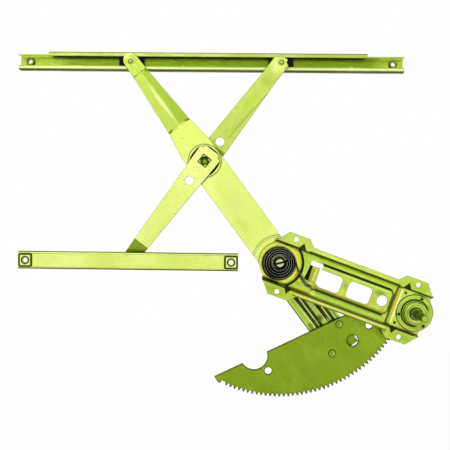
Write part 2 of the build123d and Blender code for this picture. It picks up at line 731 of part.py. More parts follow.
# Main pivot stud: turns in the round seat, riveted to the lift arm, slotted for the spring
STUD_FRONT = SEAT_DEPTH - STUD_STANDS_OUT
with BuildPart() as pivot_stud:
    with BuildSketch(turned(PIVOT)):
        with BuildLine():
            Polyline(
                *stepped(
                    STUD_FRONT,
                    (STUD_FRONT_RADIUS, SEAT_DEPTH),
                    (STUD_JOURNAL_RADIUS, ARM_FRONT),
                    (STUD_SHANK_RADIUS, ARM_BACK),
                    (STUD_HEAD_RADIUS, ARM_BACK + STUD_HEAD),
                ),
                close=True,
            )
        make_face()
    revolve(axis=axis_at(PIVOT))
    stud_rims = pivot_stud.edges().filter_by(GeomType.CIRCLE).sort_by(Axis.Y)
    chamfer(stud_rims[0], length=STUD_CHAMFER)
    chamfer(stud_rims[-1], length=STUD_CHAMFER)
    with BuildSketch(facing(PIVOT, STUD_SLOT_ANGLE, STUD_FRONT)):
        Rectangle(3 * STUD_FRONT_RADIUS, STUD_SLOT)
    extrude(amount=-STUD_SLOT_DEPTH, mode=Mode.SUBTRACT)
export(pivot_stud.part, "pivot_stud")

with BuildPart() as pivot_washer:
    with BuildSketch(facing(PIVOT, 0, SEAT_DEPTH - FACE_GAP - PIVOT_WASHER_SHEET)):
        Circle(PIVOT_WASHER_RADIUS)
        Circle(STUD_FRONT_RADIUS, mode=Mode.SUBTRACT)
    extrude(amount=-PIVOT_WASHER_SHEET)
export(pivot_washer.part, "pivot_washer")

# Counterbalance spring: half turns of growing radius, each about its own centre, tangent all along
SPRING_BACK = PANEL_DEPTH - LAYER_GAP
SPRING_FRONT = SPRING_BACK - SPRING_WIDTH
SLOT_ON_PLATE = STUD_SLOT_ANGLE + PLATE_TILT
with BuildPart() as counterbalance_spring:
    with BuildSketch(facing(PIVOT, PLATE_ANGLE, SPRING_FRONT)):
        with BuildLine() as strip_line:
            start_angle = SLOT_ON_PLATE
            radius = SPRING_INNER_RADIUS
            centre = (0.0, 0.0)
            Line(
                step(centre, start_angle + 180, STUD_FRONT_RADIUS - CUT_MARGIN),
                step(centre, start_angle, radius),
            )
            for half_turn in range(SPRING_HALF_TURNS):
                end_angle = start_angle - 180
                ThreePointArc(
                    step(centre, start_angle, radius),
                    step(centre, start_angle - 90, radius),
                    step(centre, end_angle, radius),
                )
                centre = step(centre, end_angle, -SPRING_PITCH / 2)
                radius = radius + SPRING_PITCH / 2
                start_angle = end_angle
            leave_angle = SPRING_LEAVES_AT - 360 * ((SPRING_HALF_TURNS + 1) // 2)
            ThreePointArc(
                step(centre, start_angle, radius),
                step(centre, (start_angle + leave_angle) / 2, radius),
                step(centre, leave_angle, radius),
            )
            Spline(
                step(centre, leave_angle, radius),
                SPRING_TAIL_BEND,
                SPRING_TAIL_UNDER_TAB,
                SPRING_TAIL_END,
                tangents=[step((0, 0), leave_angle - 90, 1), (1, 0.3)],
            )
        trace(line_width=SPRING_STRIP)
    extrude(amount=-SPRING_WIDTH)
export(counterbalance_spring.part, "counterbalance_spring")

# Lift arm: one long pressing, its jogged stretch folded to a roof between two flat ends
def roofed_stretch():
    """The sloping stretch between the creases: highest along its middle, tapering in outline."""
    run = ARM_UPPER_CREASE - ARM_LOWER_CREASE
    crease = step(PIVOT, ARM_ANGLE, ARM_LOWER_CREASE)
    edge = ARM_FRONT + ARM_RIDGE
    with BuildPart() as stretch:
        with BuildSketch(edgewise(crease, ARM_ANGLE + 90)):
            with BuildLine():
                Polyline(
                    (-ARM_CREASE_HALF, edge),
                    (0, ARM_FRONT),
                    (ARM_CREASE_HALF, edge),
                    (ARM_CREASE_HALF, edge + ARM_SHEET),
                    (0, ARM_FRONT + ARM_SHEET),
                    (-ARM_CREASE_HALF, edge + ARM_SHEET),
                    close=True,
                )
            make_face()
        along = step((0, 0), ARM_ANGLE, run)
        extrude(amount=(run**2 + ARM_JOG**2) ** 0.5, dir=(along[0], ARM_JOG, along[1]))
        with BuildSketch(facing(PIVOT, ARM_ANGLE, 0)):
            with BuildLine():
                Polyline(
                    *tapered(
                        [
                            (ARM_LOWER_CREASE, ARM_CREASE_HALF),
                            (ARM_UPPER_CREASE, ARM_NECK_HALF),
                        ]
                    ),
                    close=True,
                )
            make_face()
        extrude(amount=-2 * RAIL_FRONT, mode=Mode.INTERSECT)
    return stretch.part


with BuildPart() as lift_arm:
    with BuildSketch(facing(PIVOT, ARM_ANGLE, ARM_FRONT)):
        with BuildLine():
            Polyline(
                *tapered(
                    [
                        (-ARM_TAIL, ARM_HALF),
                        (ARM_TAPER_START, ARM_HALF),
                        (ARM_LOWER_CREASE, ARM_CREASE_HALF),
                    ]
                ),
                close=True,
            )
        make_face()
    extrude(amount=-ARM_SHEET)
    with BuildSketch(facing(PIVOT, ARM_ANGLE, ARM_END_FRONT)):
        with BuildLine():
            Polyline(
                *tapered([(ARM_UPPER_CREASE, ARM_NECK_HALF), (2 * HALF_ARM, ARM_END_RADIUS)]),
                close=True,
            )
        make_face()
        with Locations((2 * HALF_ARM, 0)):
            Circle(ARM_END_RADIUS)
    extrude(amount=-ARM_SHEET)
    add(roofed_stretch())
    with BuildSketch(facing(PIVOT, ARM_ANGLE, ARM_FRONT)):
        Circle(STUD_SHANK_RADIUS)
        with Locations((HALF_ARM, 0)):
            Circle(KEY_JOURNAL_RADIUS + RUNNING_CLEARANCE)
        with Locations((-UPPER_RIVET_ALONG, -UPPER_RIVET_ASIDE), (-LOWER_RIVET_ALONG, -LOWER_RIVET_ASIDE)):
            Circle(SECTOR_RIVET_RADIUS)
        with Locations((2 * HALF_ARM, 0)):
            Circle(SLIDE_STUD_RADIUS)
    extrude(amount=-(ARM_SHEET + ARM_JOG), mode=Mode.SUBTRACT)
    with BuildSketch(edgewise(step(PIVOT, ARM_ANGLE, -TAIL_GROOVE_END), ARM_ANGLE + 90)):
        for middle in (TAIL_GROOVE_OFFSET, -TAIL_GROOVE_OFFSET):
            with BuildLine():
                Polyline(
                    (middle - TAIL_GROOVE_WIDTH / 2, ARM_FRONT),
                    (middle - TAIL_GROOVE_FLOOR / 2, ARM_FRONT + TAIL_GROOVE_DEPTH),
                    (middle + TAIL_GROOVE_FLOOR / 2, ARM_FRONT + TAIL_GROOVE_DEPTH),
                    (middle + TAIL_GROOVE_WIDTH / 2, ARM_FRONT),
                    close=True,
                )
            make_face()
    extrude(
        amount=TAIL_GROOVE_END - TAIL_GROOVE_START,
        dir=heading(ARM_ANGLE),
        mode=Mode.SUBTRACT,
    )
    with BuildSketch(facing(PIVOT, ARM_ANGLE, ARM_FRONT)):
        Circle(PIVOT_GROOVE_RADIUS)
        Circle(PIVOT_GROOVE_RADIUS - PIVOT_GROOVE_WIDTH, mode=Mode.SUBTRACT)
    extrude(amount=-PIVOT_GROOVE_DEPTH, mode=Mode.SUBTRACT)
export(lift_arm.part, "lift_arm")

# Toothed sector: the segment of a gear beyond a chord
FIRST_TOOTH_ANGLE = -PLATE_TILT + (TEETH_BEFORE_MESH - 0.5) * TOOTH_ANGLE
with BuildPart() as sector_gear:
    with BuildSketch(facing(PIVOT, 0, SECTOR_FRONT)):
        Circle(SECTOR_ROOT)
        with Locations(step((0, 0), -CHORD_ANGLE, CHORD_DISTANCE + SECTOR_TIP)):
            Rectangle(2 * SECTOR_TIP, 3 * SECTOR_TIP, rotation=-CHORD_ANGLE, mode=Mode.INTERSECT)
        with PolarLocations(0, SECTOR_TEETH, FIRST_TOOTH_ANGLE, -SECTOR_TEETH * TOOTH_ANGLE):
            Polygon(
                *tooth_outline(SECTOR_FULL_TEETH, (SECTOR_ROOT, SECTOR_TIP)),
                align=None,
            )
        Polygon(
            step((0, 0), -BLANK_TOOTH_START, SECTOR_ROOT - MODULE),
            step((0, 0), -BLANK_TOOTH_START, SECTOR_TIP),
            step((0, 0), -BLANK_TOOTH_END, SECTOR_TIP),
            step((0, 0), -CHORD_ANGLE - degrees(acos(CHORD_DISTANCE / SECTOR_ROOT)), SECTOR_ROOT),
            align=None,
        )
        with Locations(step((0, 0), -NOTCH_ANGLE, NOTCH_DISTANCE)):
            Circle(NOTCH_RADIUS, mode=Mode.SUBTRACT)
        with Locations(step((0, 0), -RELIEF_ANGLE, RELIEF_DISTANCE)):
            Circle(RELIEF_RADIUS, mode=Mode.SUBTRACT)
        for side in (-1, 1):
            with Locations(step((0, 0), -SECTOR_AXIS + side * SMALL_HOLE_SPREAD, SMALL_HOLE_DISTANCE)):
                Circle(SMALL_HOLE_RADIUS, mode=Mode.SUBTRACT)
    extrude(amount=-SECTOR_SHEET)
    with BuildSketch(facing(PIVOT, ARM_ANGLE, SECTOR_FRONT)):
        with Locations((-UPPER_RIVET_ALONG, -UPPER_RIVET_ASIDE), (-LOWER_RIVET_ALONG, -LOWER_RIVET_ASIDE)):
            Circle(SECTOR_RIVET_RADIUS)
        with Locations((-SIGHT_HOLE_ALONG, -SIGHT_HOLE_ASIDE)):
            Circle(SIGHT_HOLE_RADIUS)
    extrude(amount=-SECTOR_SHEET, mode=Mode.SUBTRACT)
export(sector_gear.part, "sector_gear")

with BuildPart() as sector_rivets:
    rivet_places = [(-UPPER_RIVET_ALONG, -UPPER_RIVET_ASIDE), (-LOWER_RIVET_ALONG, -LOWER_RIVET_ASIDE)]
    with BuildSketch(facing(PIVOT, ARM_ANGLE, SECTOR_FRONT)):
        with Locations(*rivet_places):
            Circle(SECTOR_RIVET_HEAD_RADIUS)
    extrude(amount=SECTOR_RIVET_HEAD)
    with BuildSketch(facing(PIVOT, ARM_ANGLE, SECTOR_FRONT)):
        with Locations(*rivet_places):
            Circle(SECTOR_RIVET_RADIUS)
    extrude(amount=-(SECTOR_SHEET + ARM_SHEET))
    with BuildSketch(facing(PIVOT, ARM_ANGLE, ARM_BACK)):
        with Locations(*rivet_places):
            Circle(SECTOR_RIVET_HEAD_RADIUS)
    extrude(amount=-SECTOR_RIVET_HEAD)
export(sector_rivets.part, "sector_rivets")

def bites(along, half):
    """The middles of the two small round notches in an equalizer end's cut corners."""
    return [(along, side * (half - EQUALIZER_BITE_INSET)) for side in (-1, 1)]


# Equalizer arm, lower half: in front of the lift arm, jogged back at the foot
LOWER_ANGLE = REST_ANGLE + 180
JOG_START = HALF_ARM - LOWER_FOOT_FLAT - LOWER_JOG_LENGTH
with BuildPart() as equalizer_arm_lower:
    add(
        layered_strip(
            CROSS,
            LOWER_ANGLE,
            [
                (-EQUALIZER_ROOT_CUT - CUT_MARGIN, LOWER_FRONT),
                (JOG_START, LOWER_FRONT),
                (JOG_START + LOWER_JOG_LENGTH, FOOT_FRONT),
                (HALF_ARM + EQUALIZER_END_RADIUS + CUT_MARGIN, FOOT_FRONT),
            ],
            EQUALIZER_SHEET,
            ARM_HALF,
        )
    )
    with BuildSketch(facing(CROSS, LOWER_ANGLE, LOWER_FRONT - CUT_MARGIN)) as lower_outline:
        with BuildLine():
            Polyline(
                *tapered(
                    [
                        (-EQUALIZER_ROOT_CUT, EQUALIZER_ROOT_HALF),
                        (EQUALIZER_NECK_AT, EQUALIZER_NECK_HALF),
                        (HALF_ARM, EQUALIZER_END_RADIUS),
                    ]
                ),
                close=True,
            )
        make_face()
        root_corners = lower_outline.vertices().group_by(Axis.X)[0]
        chamfer(root_corners, length=EQUALIZER_CORNER)
        with Locations(*bites(-EQUALIZER_ROOT_CUT + EQUALIZER_BITE_INSET, EQUALIZER_ROOT_HALF)):
            Circle(EQUALIZER_BITE_RADIUS, mode=Mode.SUBTRACT)
        with Locations((HALF_ARM, 0)):
            Circle(EQUALIZER_END_RADIUS)
    extrude(amount=-(EQUALIZER_SHEET + LOWER_JOG + 2 * CUT_MARGIN), mode=Mode.INTERSECT)
    with BuildSketch(facing(CROSS, LOWER_ANGLE, LOWER_FRONT)):
        Rectangle(KEY_SIDE, KEY_SIDE)
        with Locations((EQUALIZER_HOLE_AT, 0)):
            Circle(EQUALIZER_HOLE_RADIUS)
        with Locations((HALF_ARM, 0)):
            Circle(SLIDE_STUD_RADIUS)
    extrude(amount=-(EQUALIZER_SHEET + LOWER_JOG), mode=Mode.SUBTRACT)
export(equalizer_arm_lower.part, "equalizer_arm_lower")

with BuildPart() as equalizer_arm_upper:
    with BuildSketch(facing(CROSS, REST_ANGLE, UPPER_FRONT)) as upper_outline:
        with BuildLine():
            Polyline(
                *tapered(
                    [
                        (-EQUALIZER_ROOT_CUT, EQUALIZER_ROOT_HALF),
                        (EQUALIZER_NECK_AT, EQUALIZER_NECK_HALF),
                        (HALF_ARM + UPPER_END_CUT, EQUALIZER_NECK_HALF),
                    ]
                ),
                close=True,
            )
        make_face()
        end_corners = upper_outline.vertices().group_by(Axis.X)
        chamfer([*end_corners[0], *end_corners[-1]], length=EQUALIZER_CORNER)
        with Locations(
            *bites(-EQUALIZER_ROOT_CUT + EQUALIZER_BITE_INSET, EQUALIZER_ROOT_HALF),
            *bites(HALF_ARM + UPPER_END_CUT - EQUALIZER_BITE_INSET, EQUALIZER_NECK_HALF),
        ):
            Circle(EQUALIZER_BITE_RADIUS, mode=Mode.SUBTRACT)
        Rectangle(KEY_SIDE, KEY_SIDE, mode=Mode.SUBTRACT)
        with Locations((EQUALIZER_HOLE_AT, 0)):
            Circle(EQUALIZER_HOLE_RADIUS, mode=Mode.SUBTRACT)
        with Locations((HALF_ARM, 0)):
            Circle(SLIDE_STUD_RADIUS, mode=Mode.SUBTRACT)
    extrude(amount=-EQUALIZER_SHEET)
export(equalizer_arm_upper.part, "equalizer_arm_upper")

# Cross pivot: a square key with a round journal, its washer in front and spacer behind
KEY_FRONT = LOWER_FRONT - KEY_PROUD
with BuildPart() as cross_pivot_key:
    with BuildSketch(facing(CROSS, REST_ANGLE, KEY_FRONT)):
        Rectangle(KEY_SIDE, KEY_SIDE)
    extrude(amount=-(UPPER_BACK - KEY_FRONT))
    with BuildSketch(facing(CROSS, 0, LOWER_BACK)):
        Circle(KEY_JOURNAL_RADIUS)
    extrude(amount=-(UPPER_FRONT - LOWER_BACK))
    with BuildSketch(facing(CROSS, 0, UPPER_BACK)):
        Circle(KEY_HEAD_RADIUS)
    extrude(amount=-KEY_HEAD)
    with BuildSketch(facing(CROSS, 0, KEY_FRONT)):
        Circle(KEY_CUP_RADIUS)
    extrude(amount=-KEY_CUP_DEPTH, taper=KEY_CUP_DRAFT, mode=Mode.SUBTRACT)
export(cross_pivot_key.part, "cross_pivot_key")

with BuildPart() as cross_pivot_washer:
    with BuildSketch(facing(CROSS, 0, LOWER_BACK)):
        Circle(CROSS_WASHER_RADIUS)
        Circle(KEY_JOURNAL_RADIUS, mode=Mode.SUBTRACT)
    extrude(amount=-CROSS_WASHER_SHEET)
export(cross_pivot_washer.part, "cross_pivot_washer")

with BuildPart() as cross_pivot_spacer:
    with BuildSketch(facing(CROSS, 0, UPPER_FRONT - CROSS_SPACER_LENGTH)):
        Circle(CROSS_SPACER_RADIUS)
        Circle(KEY_JOURNAL_RADIUS, mode=Mode.SUBTRACT)
    extrude(amount=-CROSS_SPACER_LENGTH)
export(cross_pivot_spacer.part, "cross_pivot_spacer")

# Upper slides: each guides on the rail's lips by a boss and turns on a stud
RAIL_ROOM = RAIL_HEIGHT - 2 * CHANNEL_SHEET
RAIL_SLIDE_BACK = RAIL_SLIDE_FRONT + SLIDE_BODY
RAIL_BOSS_FRONT = RAIL_FRONT + SLIDE_GAP
for place, label in ((ARM_TOP, "rear_slide"), (EQUALIZER_TOP, "front_slide")):
    with BuildPart() as slide:
        with BuildSketch(facing(place, 0, RAIL_SLIDE_FRONT)):
            RectangleRounded(SLIDE_LENGTH, RAIL_ROOM - 2 * SLIDE_GAP, SLIDE_CORNER)
        extrude(amount=-SLIDE_BODY)
        with BuildSketch(facing(place, 0, RAIL_BOSS_FRONT)):
            SlotOverall(SLIDE_LENGTH - 2 * SLIDE_CORNER, RAIL_LIP_GAP - 2 * SLIDE_GAP)
        extrude(amount=-(RAIL_SLIDE_FRONT - RAIL_BOSS_FRONT))
        with BuildSketch(facing(place, 0, RAIL_BOSS_FRONT)):
            Circle(SLIDE_STUD_RADIUS + RUNNING_CLEARANCE)
        extrude(amount=-(RAIL_SLIDE_BACK - RAIL_BOSS_FRONT), mode=Mode.SUBTRACT)
    export(slide.part, label)

for place, sheet_front, sheet_back, label in (
    (ARM_TOP, ARM_END_FRONT, ARM_END_FRONT + ARM_SHEET, "rear_stud"),
    (EQUALIZER_TOP, UPPER_FRONT, UPPER_BACK, "front_stud"),
):
    with BuildPart() as stud:
        with BuildSketch(turned(place)):
            with BuildLine():
                Polyline(
                    *stepped(
                        sheet_front - SLIDE_STUD_HEAD,
                        (SLIDE_STUD_HEAD_RADIUS, sheet_front),
                        (SLIDE_STUD_RADIUS, sheet_back),
                        (SLIDE_STUD_SHOULDER, RAIL_BOSS_FRONT - FACE_GAP),
                        (SLIDE_STUD_RADIUS, RAIL_SLIDE_BACK - FACE_GAP),
                    ),
                    close=True,
                )
            make_face()
        revolve(axis=axis_at(place))
    export(stud.part, label)

# Lower slide and its stud, which reaches forwards through the channel's lips
LOWER_BOSS_BACK = CHANNEL_BACK - FACE_GAP
with BuildPart() as lower_slide:
    with BuildSketch(facing(EQUALIZER_FOOT, 0, LOWER_SLIDE_FRONT)):
        RectangleRounded(
            SLIDE_LENGTH, CHANNEL_HEIGHT - 2 * CHANNEL_SHEET - 2 * SLIDE_GAP, SLIDE_CORNER
        )
    extrude(amount=-LOWER_SLIDE_BODY)
    with BuildSketch(facing(EQUALIZER_FOOT, 0, LOWER_SLIDE_BACK)):
        SlotOverall(SLIDE_LENGTH - 2 * SLIDE_CORNER, CHANNEL_LIP_GAP - 2 * SLIDE_GAP)
    extrude(amount=-(LOWER_BOSS_BACK - LOWER_SLIDE_BACK))
    with BuildSketch(facing(EQUALIZER_FOOT, 0, LOWER_SLIDE_FRONT)):
        Circle(SLIDE_STUD_RADIUS + RUNNING_CLEARANCE)
    extrude(amount=-(LOWER_BOSS_BACK - LOWER_SLIDE_FRONT), mode=Mode.SUBTRACT)
export(lower_slide.part, "lower_slide")

with BuildPart() as lower_stud:
    with BuildSketch(turned(EQUALIZER_FOOT)):
        with BuildLine():
            Polyline(
                *stepped(
                    LOWER_SLIDE_FRONT + FACE_GAP,
                    (SLIDE_STUD_RADIUS, LOWER_BOSS_BACK + FACE_GAP),
                    (SLIDE_STUD_SHOULDER, FOOT_FRONT),
                    (SLIDE_STUD_RADIUS, FOOT_FRONT + EQUALIZER_SHEET),
                    (SLIDE_STUD_HEAD_RADIUS, FOOT_FRONT + EQUALIZER_SHEET + SLIDE_STUD_HEAD),
                ),
                close=True,
            )
        make_face()
    revolve(axis=axis_at(EQUALIZER_FOOT))
export(lower_stud.part, "lower_stud")

# Glass rail: a lipped channel open to the arms, its upper wall cut back at both ends
with BuildPart() as glass_rail:
    rail_start = (EQUALIZER_TOP[0] - RAIL_LEFT, EQUALIZER_TOP[1])
    rail_depth = RAIL_FLOOR + CHANNEL_SHEET - RAIL_FRONT
    with BuildSketch(edgewise(rail_start, 90)):
        with Locations((0, RAIL_FRONT + rail_depth / 2)):
            RectangleRounded(RAIL_HEIGHT, rail_depth, CHANNEL_BEND)
            RectangleRounded(
                RAIL_ROOM, rail_depth - 2 * CHANNEL_SHEET, CHANNEL_BEND - CHANNEL_SHEET, mode=Mode.SUBTRACT
            )
        with Locations((0, RAIL_FRONT + CHANNEL_SHEET / 2)):
            Rectangle(RAIL_LIP_GAP, CHANNEL_SHEET, mode=Mode.SUBTRACT)
    extrude(amount=-(RAIL_LEFT + RAIL_RIGHT))
    with BuildSketch(facing(EQUALIZER_TOP, 0, RAIL_FRONT)):
        left_end = (-RAIL_LEFT, RAIL_HEIGHT / 2 - RAIL_END_DROP)
        with Locations(left_end):
            Rectangle(RAIL_LEFT - RAIL_WALL_LEFT, RAIL_HEIGHT, align=(Align.MIN, Align.MIN))
        with Locations((RAIL_WALL_RIGHT, RAIL_HEIGHT / 2 - RAIL_END_DROP)):
            Rectangle(RAIL_RIGHT - RAIL_WALL_RIGHT, RAIL_HEIGHT, align=(Align.MIN, Align.MIN))
    extrude(amount=-rail_depth, mode=Mode.SUBTRACT)
    with BuildSketch(facing(EQUALIZER_TOP, 0, RAIL_FLOOR)):
        with Locations((-RAIL_NUT_LEFT, 0), (RAIL_NUT_RIGHT, 0)):
            Circle(RAIL_NUT_BORE)
    extrude(amount=-CHANNEL_SHEET, mode=Mode.SUBTRACT)
    with BuildSketch(facing(EQUALIZER_TOP, 0, RAIL_FRONT)):
        with Locations((-RAIL_STOP_LEFT, -RAIL_LIP_GAP / 2), (RAIL_STOP_RIGHT, -RAIL_LIP_GAP / 2)):
            Trapezoid(RAIL_STOP_LENGTH, 2 * RAIL_STOP_HEIGHT, RAIL_STOP_SLOPE)
    extrude(amount=-CHANNEL_SHEET)
export(glass_rail.part, "glass_rail")

with BuildPart() as glass_rail_nuts:
    with BuildSketch(facing(EQUALIZER_TOP, 0, RAIL_FLOOR - RAIL_NUT_THICKNESS)):
        with Locations((-RAIL_NUT_LEFT, 0), (RAIL_NUT_RIGHT, 0)):
            RegularPolygon(RAIL_NUT_SIZE, 6, major_radius=False)
            Circle(RAIL_NUT_BORE, mode=Mode.SUBTRACT)
    extrude(amount=-RAIL_NUT_THICKNESS)
export(glass_rail_nuts.part, "glass_rail_nuts")

# Guide channel on the door's inner panel, closed towards the cabin, with a square nut at each end
with BuildPart() as guide_channel:
    channel_start = (PIVOT[0] - CHANNEL_LEFT, PIVOT[1])
    channel_depth = CHANNEL_BACK - CHANNEL_FACE
    with BuildSketch(edgewise(channel_start, 90)):
        with Locations((0, CHANNEL_FACE + channel_depth / 2)):
            RectangleRounded(CHANNEL_HEIGHT, channel_depth, CHANNEL_BEND)
            RectangleRounded(
                CHANNEL_HEIGHT - 2 * CHANNEL_SHEET,
                channel_depth - 2 * CHANNEL_SHEET,
                CHANNEL_BEND - CHANNEL_SHEET,
                mode=Mode.SUBTRACT,
            )
        with Locations((0, CHANNEL_BACK - CHANNEL_SHEET / 2)):
            Rectangle(CHANNEL_LIP_GAP, CHANNEL_SHEET, mode=Mode.SUBTRACT)
    extrude(amount=-(CHANNEL_LEFT - CHANNEL_RIGHT))
    with BuildSketch(facing(PIVOT, 0, CHANNEL_FACE)):
        with Locations((-CHANNEL_NUT_LEFT, 0), (-CHANNEL_NUT_RIGHT, 0)):
            RectangleRounded(CHANNEL_NUT_SIDE, CHANNEL_NUT_SIDE, CHANNEL_NUT_CORNER)
    extrude(amount=-CHANNEL_SHEET, mode=Mode.SUBTRACT)
export(guide_channel.part, "guide_channel")

with BuildPart() as guide_channel_nuts:
    with BuildSketch(facing(PIVOT, 0, CHANNEL_FACE - CHANNEL_NUT_PROUD)):
        with Locations((-CHANNEL_NUT_LEFT, 0), (-CHANNEL_NUT_RIGHT, 0)):
            RectangleRounded(CHANNEL_NUT_SIDE, CHANNEL_NUT_SIDE, CHANNEL_NUT_CORNER)
            Circle(CHANNEL_NUT_BORE, mode=Mode.SUBTRACT)
    extrude(amount=-(CHANNEL_NUT_BACK - CHANNEL_FACE + CHANNEL_NUT_PROUD))
export(guide_channel_nuts.part, "guide_channel_nuts")
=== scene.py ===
"""A hand-cranked crossed-arm window regulator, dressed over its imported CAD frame."""

from __future__ import annotations

import json
import logging
import math
from dataclasses import dataclass, replace
from enum import Enum

import bmesh
import bpy
from mathutils import Matrix, Vector
from mathutils.geometry import interpolate_bezier

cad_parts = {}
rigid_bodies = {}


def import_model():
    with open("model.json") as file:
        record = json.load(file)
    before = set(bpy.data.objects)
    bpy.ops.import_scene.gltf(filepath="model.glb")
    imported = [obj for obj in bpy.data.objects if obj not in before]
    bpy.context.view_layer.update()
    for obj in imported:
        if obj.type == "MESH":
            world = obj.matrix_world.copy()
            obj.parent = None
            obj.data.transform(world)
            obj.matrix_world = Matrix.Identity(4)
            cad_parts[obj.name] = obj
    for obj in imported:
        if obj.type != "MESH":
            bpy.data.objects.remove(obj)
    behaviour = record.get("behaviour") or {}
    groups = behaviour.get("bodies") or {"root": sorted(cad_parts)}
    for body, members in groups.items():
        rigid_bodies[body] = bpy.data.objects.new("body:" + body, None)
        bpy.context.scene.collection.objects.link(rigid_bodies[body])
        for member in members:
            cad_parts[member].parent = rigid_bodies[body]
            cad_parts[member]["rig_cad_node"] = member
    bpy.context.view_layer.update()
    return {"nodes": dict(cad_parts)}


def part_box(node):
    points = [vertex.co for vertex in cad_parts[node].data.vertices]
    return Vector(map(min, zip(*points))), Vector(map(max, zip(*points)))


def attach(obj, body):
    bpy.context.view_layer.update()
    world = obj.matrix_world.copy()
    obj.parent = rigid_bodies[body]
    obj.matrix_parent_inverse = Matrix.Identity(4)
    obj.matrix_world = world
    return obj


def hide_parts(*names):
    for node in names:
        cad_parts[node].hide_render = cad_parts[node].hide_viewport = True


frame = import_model()

log = logging.getLogger("window_regulator")

MM = 0.001

Point = tuple[float, float]
Spot = tuple[float, float, float]
Colour = tuple[float, float, float, float]
Node = bpy.types.Node
Piece = bpy.types.Object
Shape = bmesh.types.BMesh
Socket = bpy.types.NodeSocket


class Place(Enum):
    """The pivots' places across and up the door, in millimetres."""

    PIVOT = (-97.0867, 34.9535)
    CRANK = (97.0867, -34.9535)
    CROSS = (-207.2188, 181.1038)
    ARM_TOP = (-317.3509, 327.2541)
    EQUALIZER_TOP = (-97.0867, 327.2541)


class Outline(Enum):
    """A mark's outline: round, a box, or a diamond on its corner."""

    ROUND = "LENGTH"
    BOX = "MAXIMUM"
    DIAMOND = "ADD"


@dataclass(frozen=True)
class Mark:
    """A tint of the metal's film, a painted shadow, a shade line or a painted highlight, placed on
    the door panel's plane.

    Its place, size and depths are in millimetres. With a rim it is only that wide about its edge.
    """

    place: Point
    size: Point
    colour: str
    share: float = 1.0
    angle: float = 0.0
    form: Outline = Outline.ROUND
    soft: float = 0.6
    rim: float = 0.0
    deeper_than: float | None = None
    shallower_than: float | None = None


@dataclass(frozen=True)
class Grain:
    """A noise cut to a mask: its cells to the metre, its octaves, and the levels of 0 and 1."""

    scale: float
    octaves: float
    low: float
    high: float

    def cells(self) -> dict[str, float]:
        """Give the noise node's inputs, by name."""
        return {"Scale": self.scale, "Detail": self.octaves}


TONE = Grain(30.0, 3.0, 0.40, 0.64)
CLOUDS = Grain(17.0, 4.0, 0.47, 0.62)
PITS = Grain(520.0, 2.0, 0.57, 0.68)
PIT_PATCHES = Grain(40.0, 2.0, 0.38, 0.58)
ROLLING_MARKS = Grain(900.0, 3.0, 0.38, 0.66)
SCUFFS = Grain(90.0, 4.0, 0.5, 0.72)
# Breaks up the painted highlight on the spring's crests.
CREST_HIGHLIGHT_SPOTS = Grain(60.0, 2.0, 0.26, 0.58)


def step(place: Point, angle: float, distance: float) -> Point:
    """Find the place so many millimetres from another, at an angle in degrees from the right."""
    turn = math.radians(angle)
    return (place[0] + distance * math.cos(turn), place[1] + distance * math.sin(turn))


def heading(before: Point, after: Point) -> Vector:
    """Find the unit direction from one place to another."""
    return Vector((after[0] - before[0], after[1] - before[1])).normalized()


def srgb(code: str) -> Colour:
    """Turn a six-digit colour code into a linear colour.

    Args:
        code: six hexadecimal digits.

    Returns:
        Red, green, blue and alpha, linear.
    """

    def linear(digits: str) -> float:
        """Undo the curve of one pair of digits."""
        share = int(digits, 16) / 255
        return share / 12.92 if share <= 0.04045 else ((share + 0.055) / 1.055) ** 2.4

    return (linear(code[0:2]), linear(code[2:4]), linear(code[4:6]), 1.0)


def disc(place: Point, radius: float, colour: str, share: float = 1.0, **settings: object) -> Mark:
    """Make a round mark, or a ring where a rim is given."""
    return Mark(place, (radius, radius), colour, share, **settings)


def level_box(place: Point, size: Point, colour: str, share: float, **settings: object) -> Mark:
    """Make a box-shaped mark that lies level on the door."""
    return Mark(place, size, colour, share, form=Outline.BOX, **settings)


@dataclass(frozen=True)
class Ruler:
    """A direction through a pivot, along which a piece's places are measured in millimetres."""

    start: Place
    angle: float

    def at(self, along: float, aside: float = 0.0) -> Point:
        """Find the place that far along the ruler and to its left."""
        return step(step(self.start.value, self.angle, along), self.angle + 90, aside)

    def mark(
        self,
        along: float,
        aside: float,
        size: Point,
        colour: str,
        share: float,
        turn: float = 0.0,
        **more: object,
    ) -> Mark:
        """Make a mark that lies along the ruler, turned off it by so many degrees."""
        return Mark(self.at(along, aside), size, colour, share, self.angle + turn, **more)

    def box(
        self,
        along: float,
        aside: float,
        size: Point,
        colour: str,
        share: float,
        soft: float = 0.6,
        **more: object,
    ) -> Mark:
        """Make a box-shaped mark along the ruler."""
        return self.mark(along, aside, size, colour, share, form=Outline.BOX, soft=soft, **more)


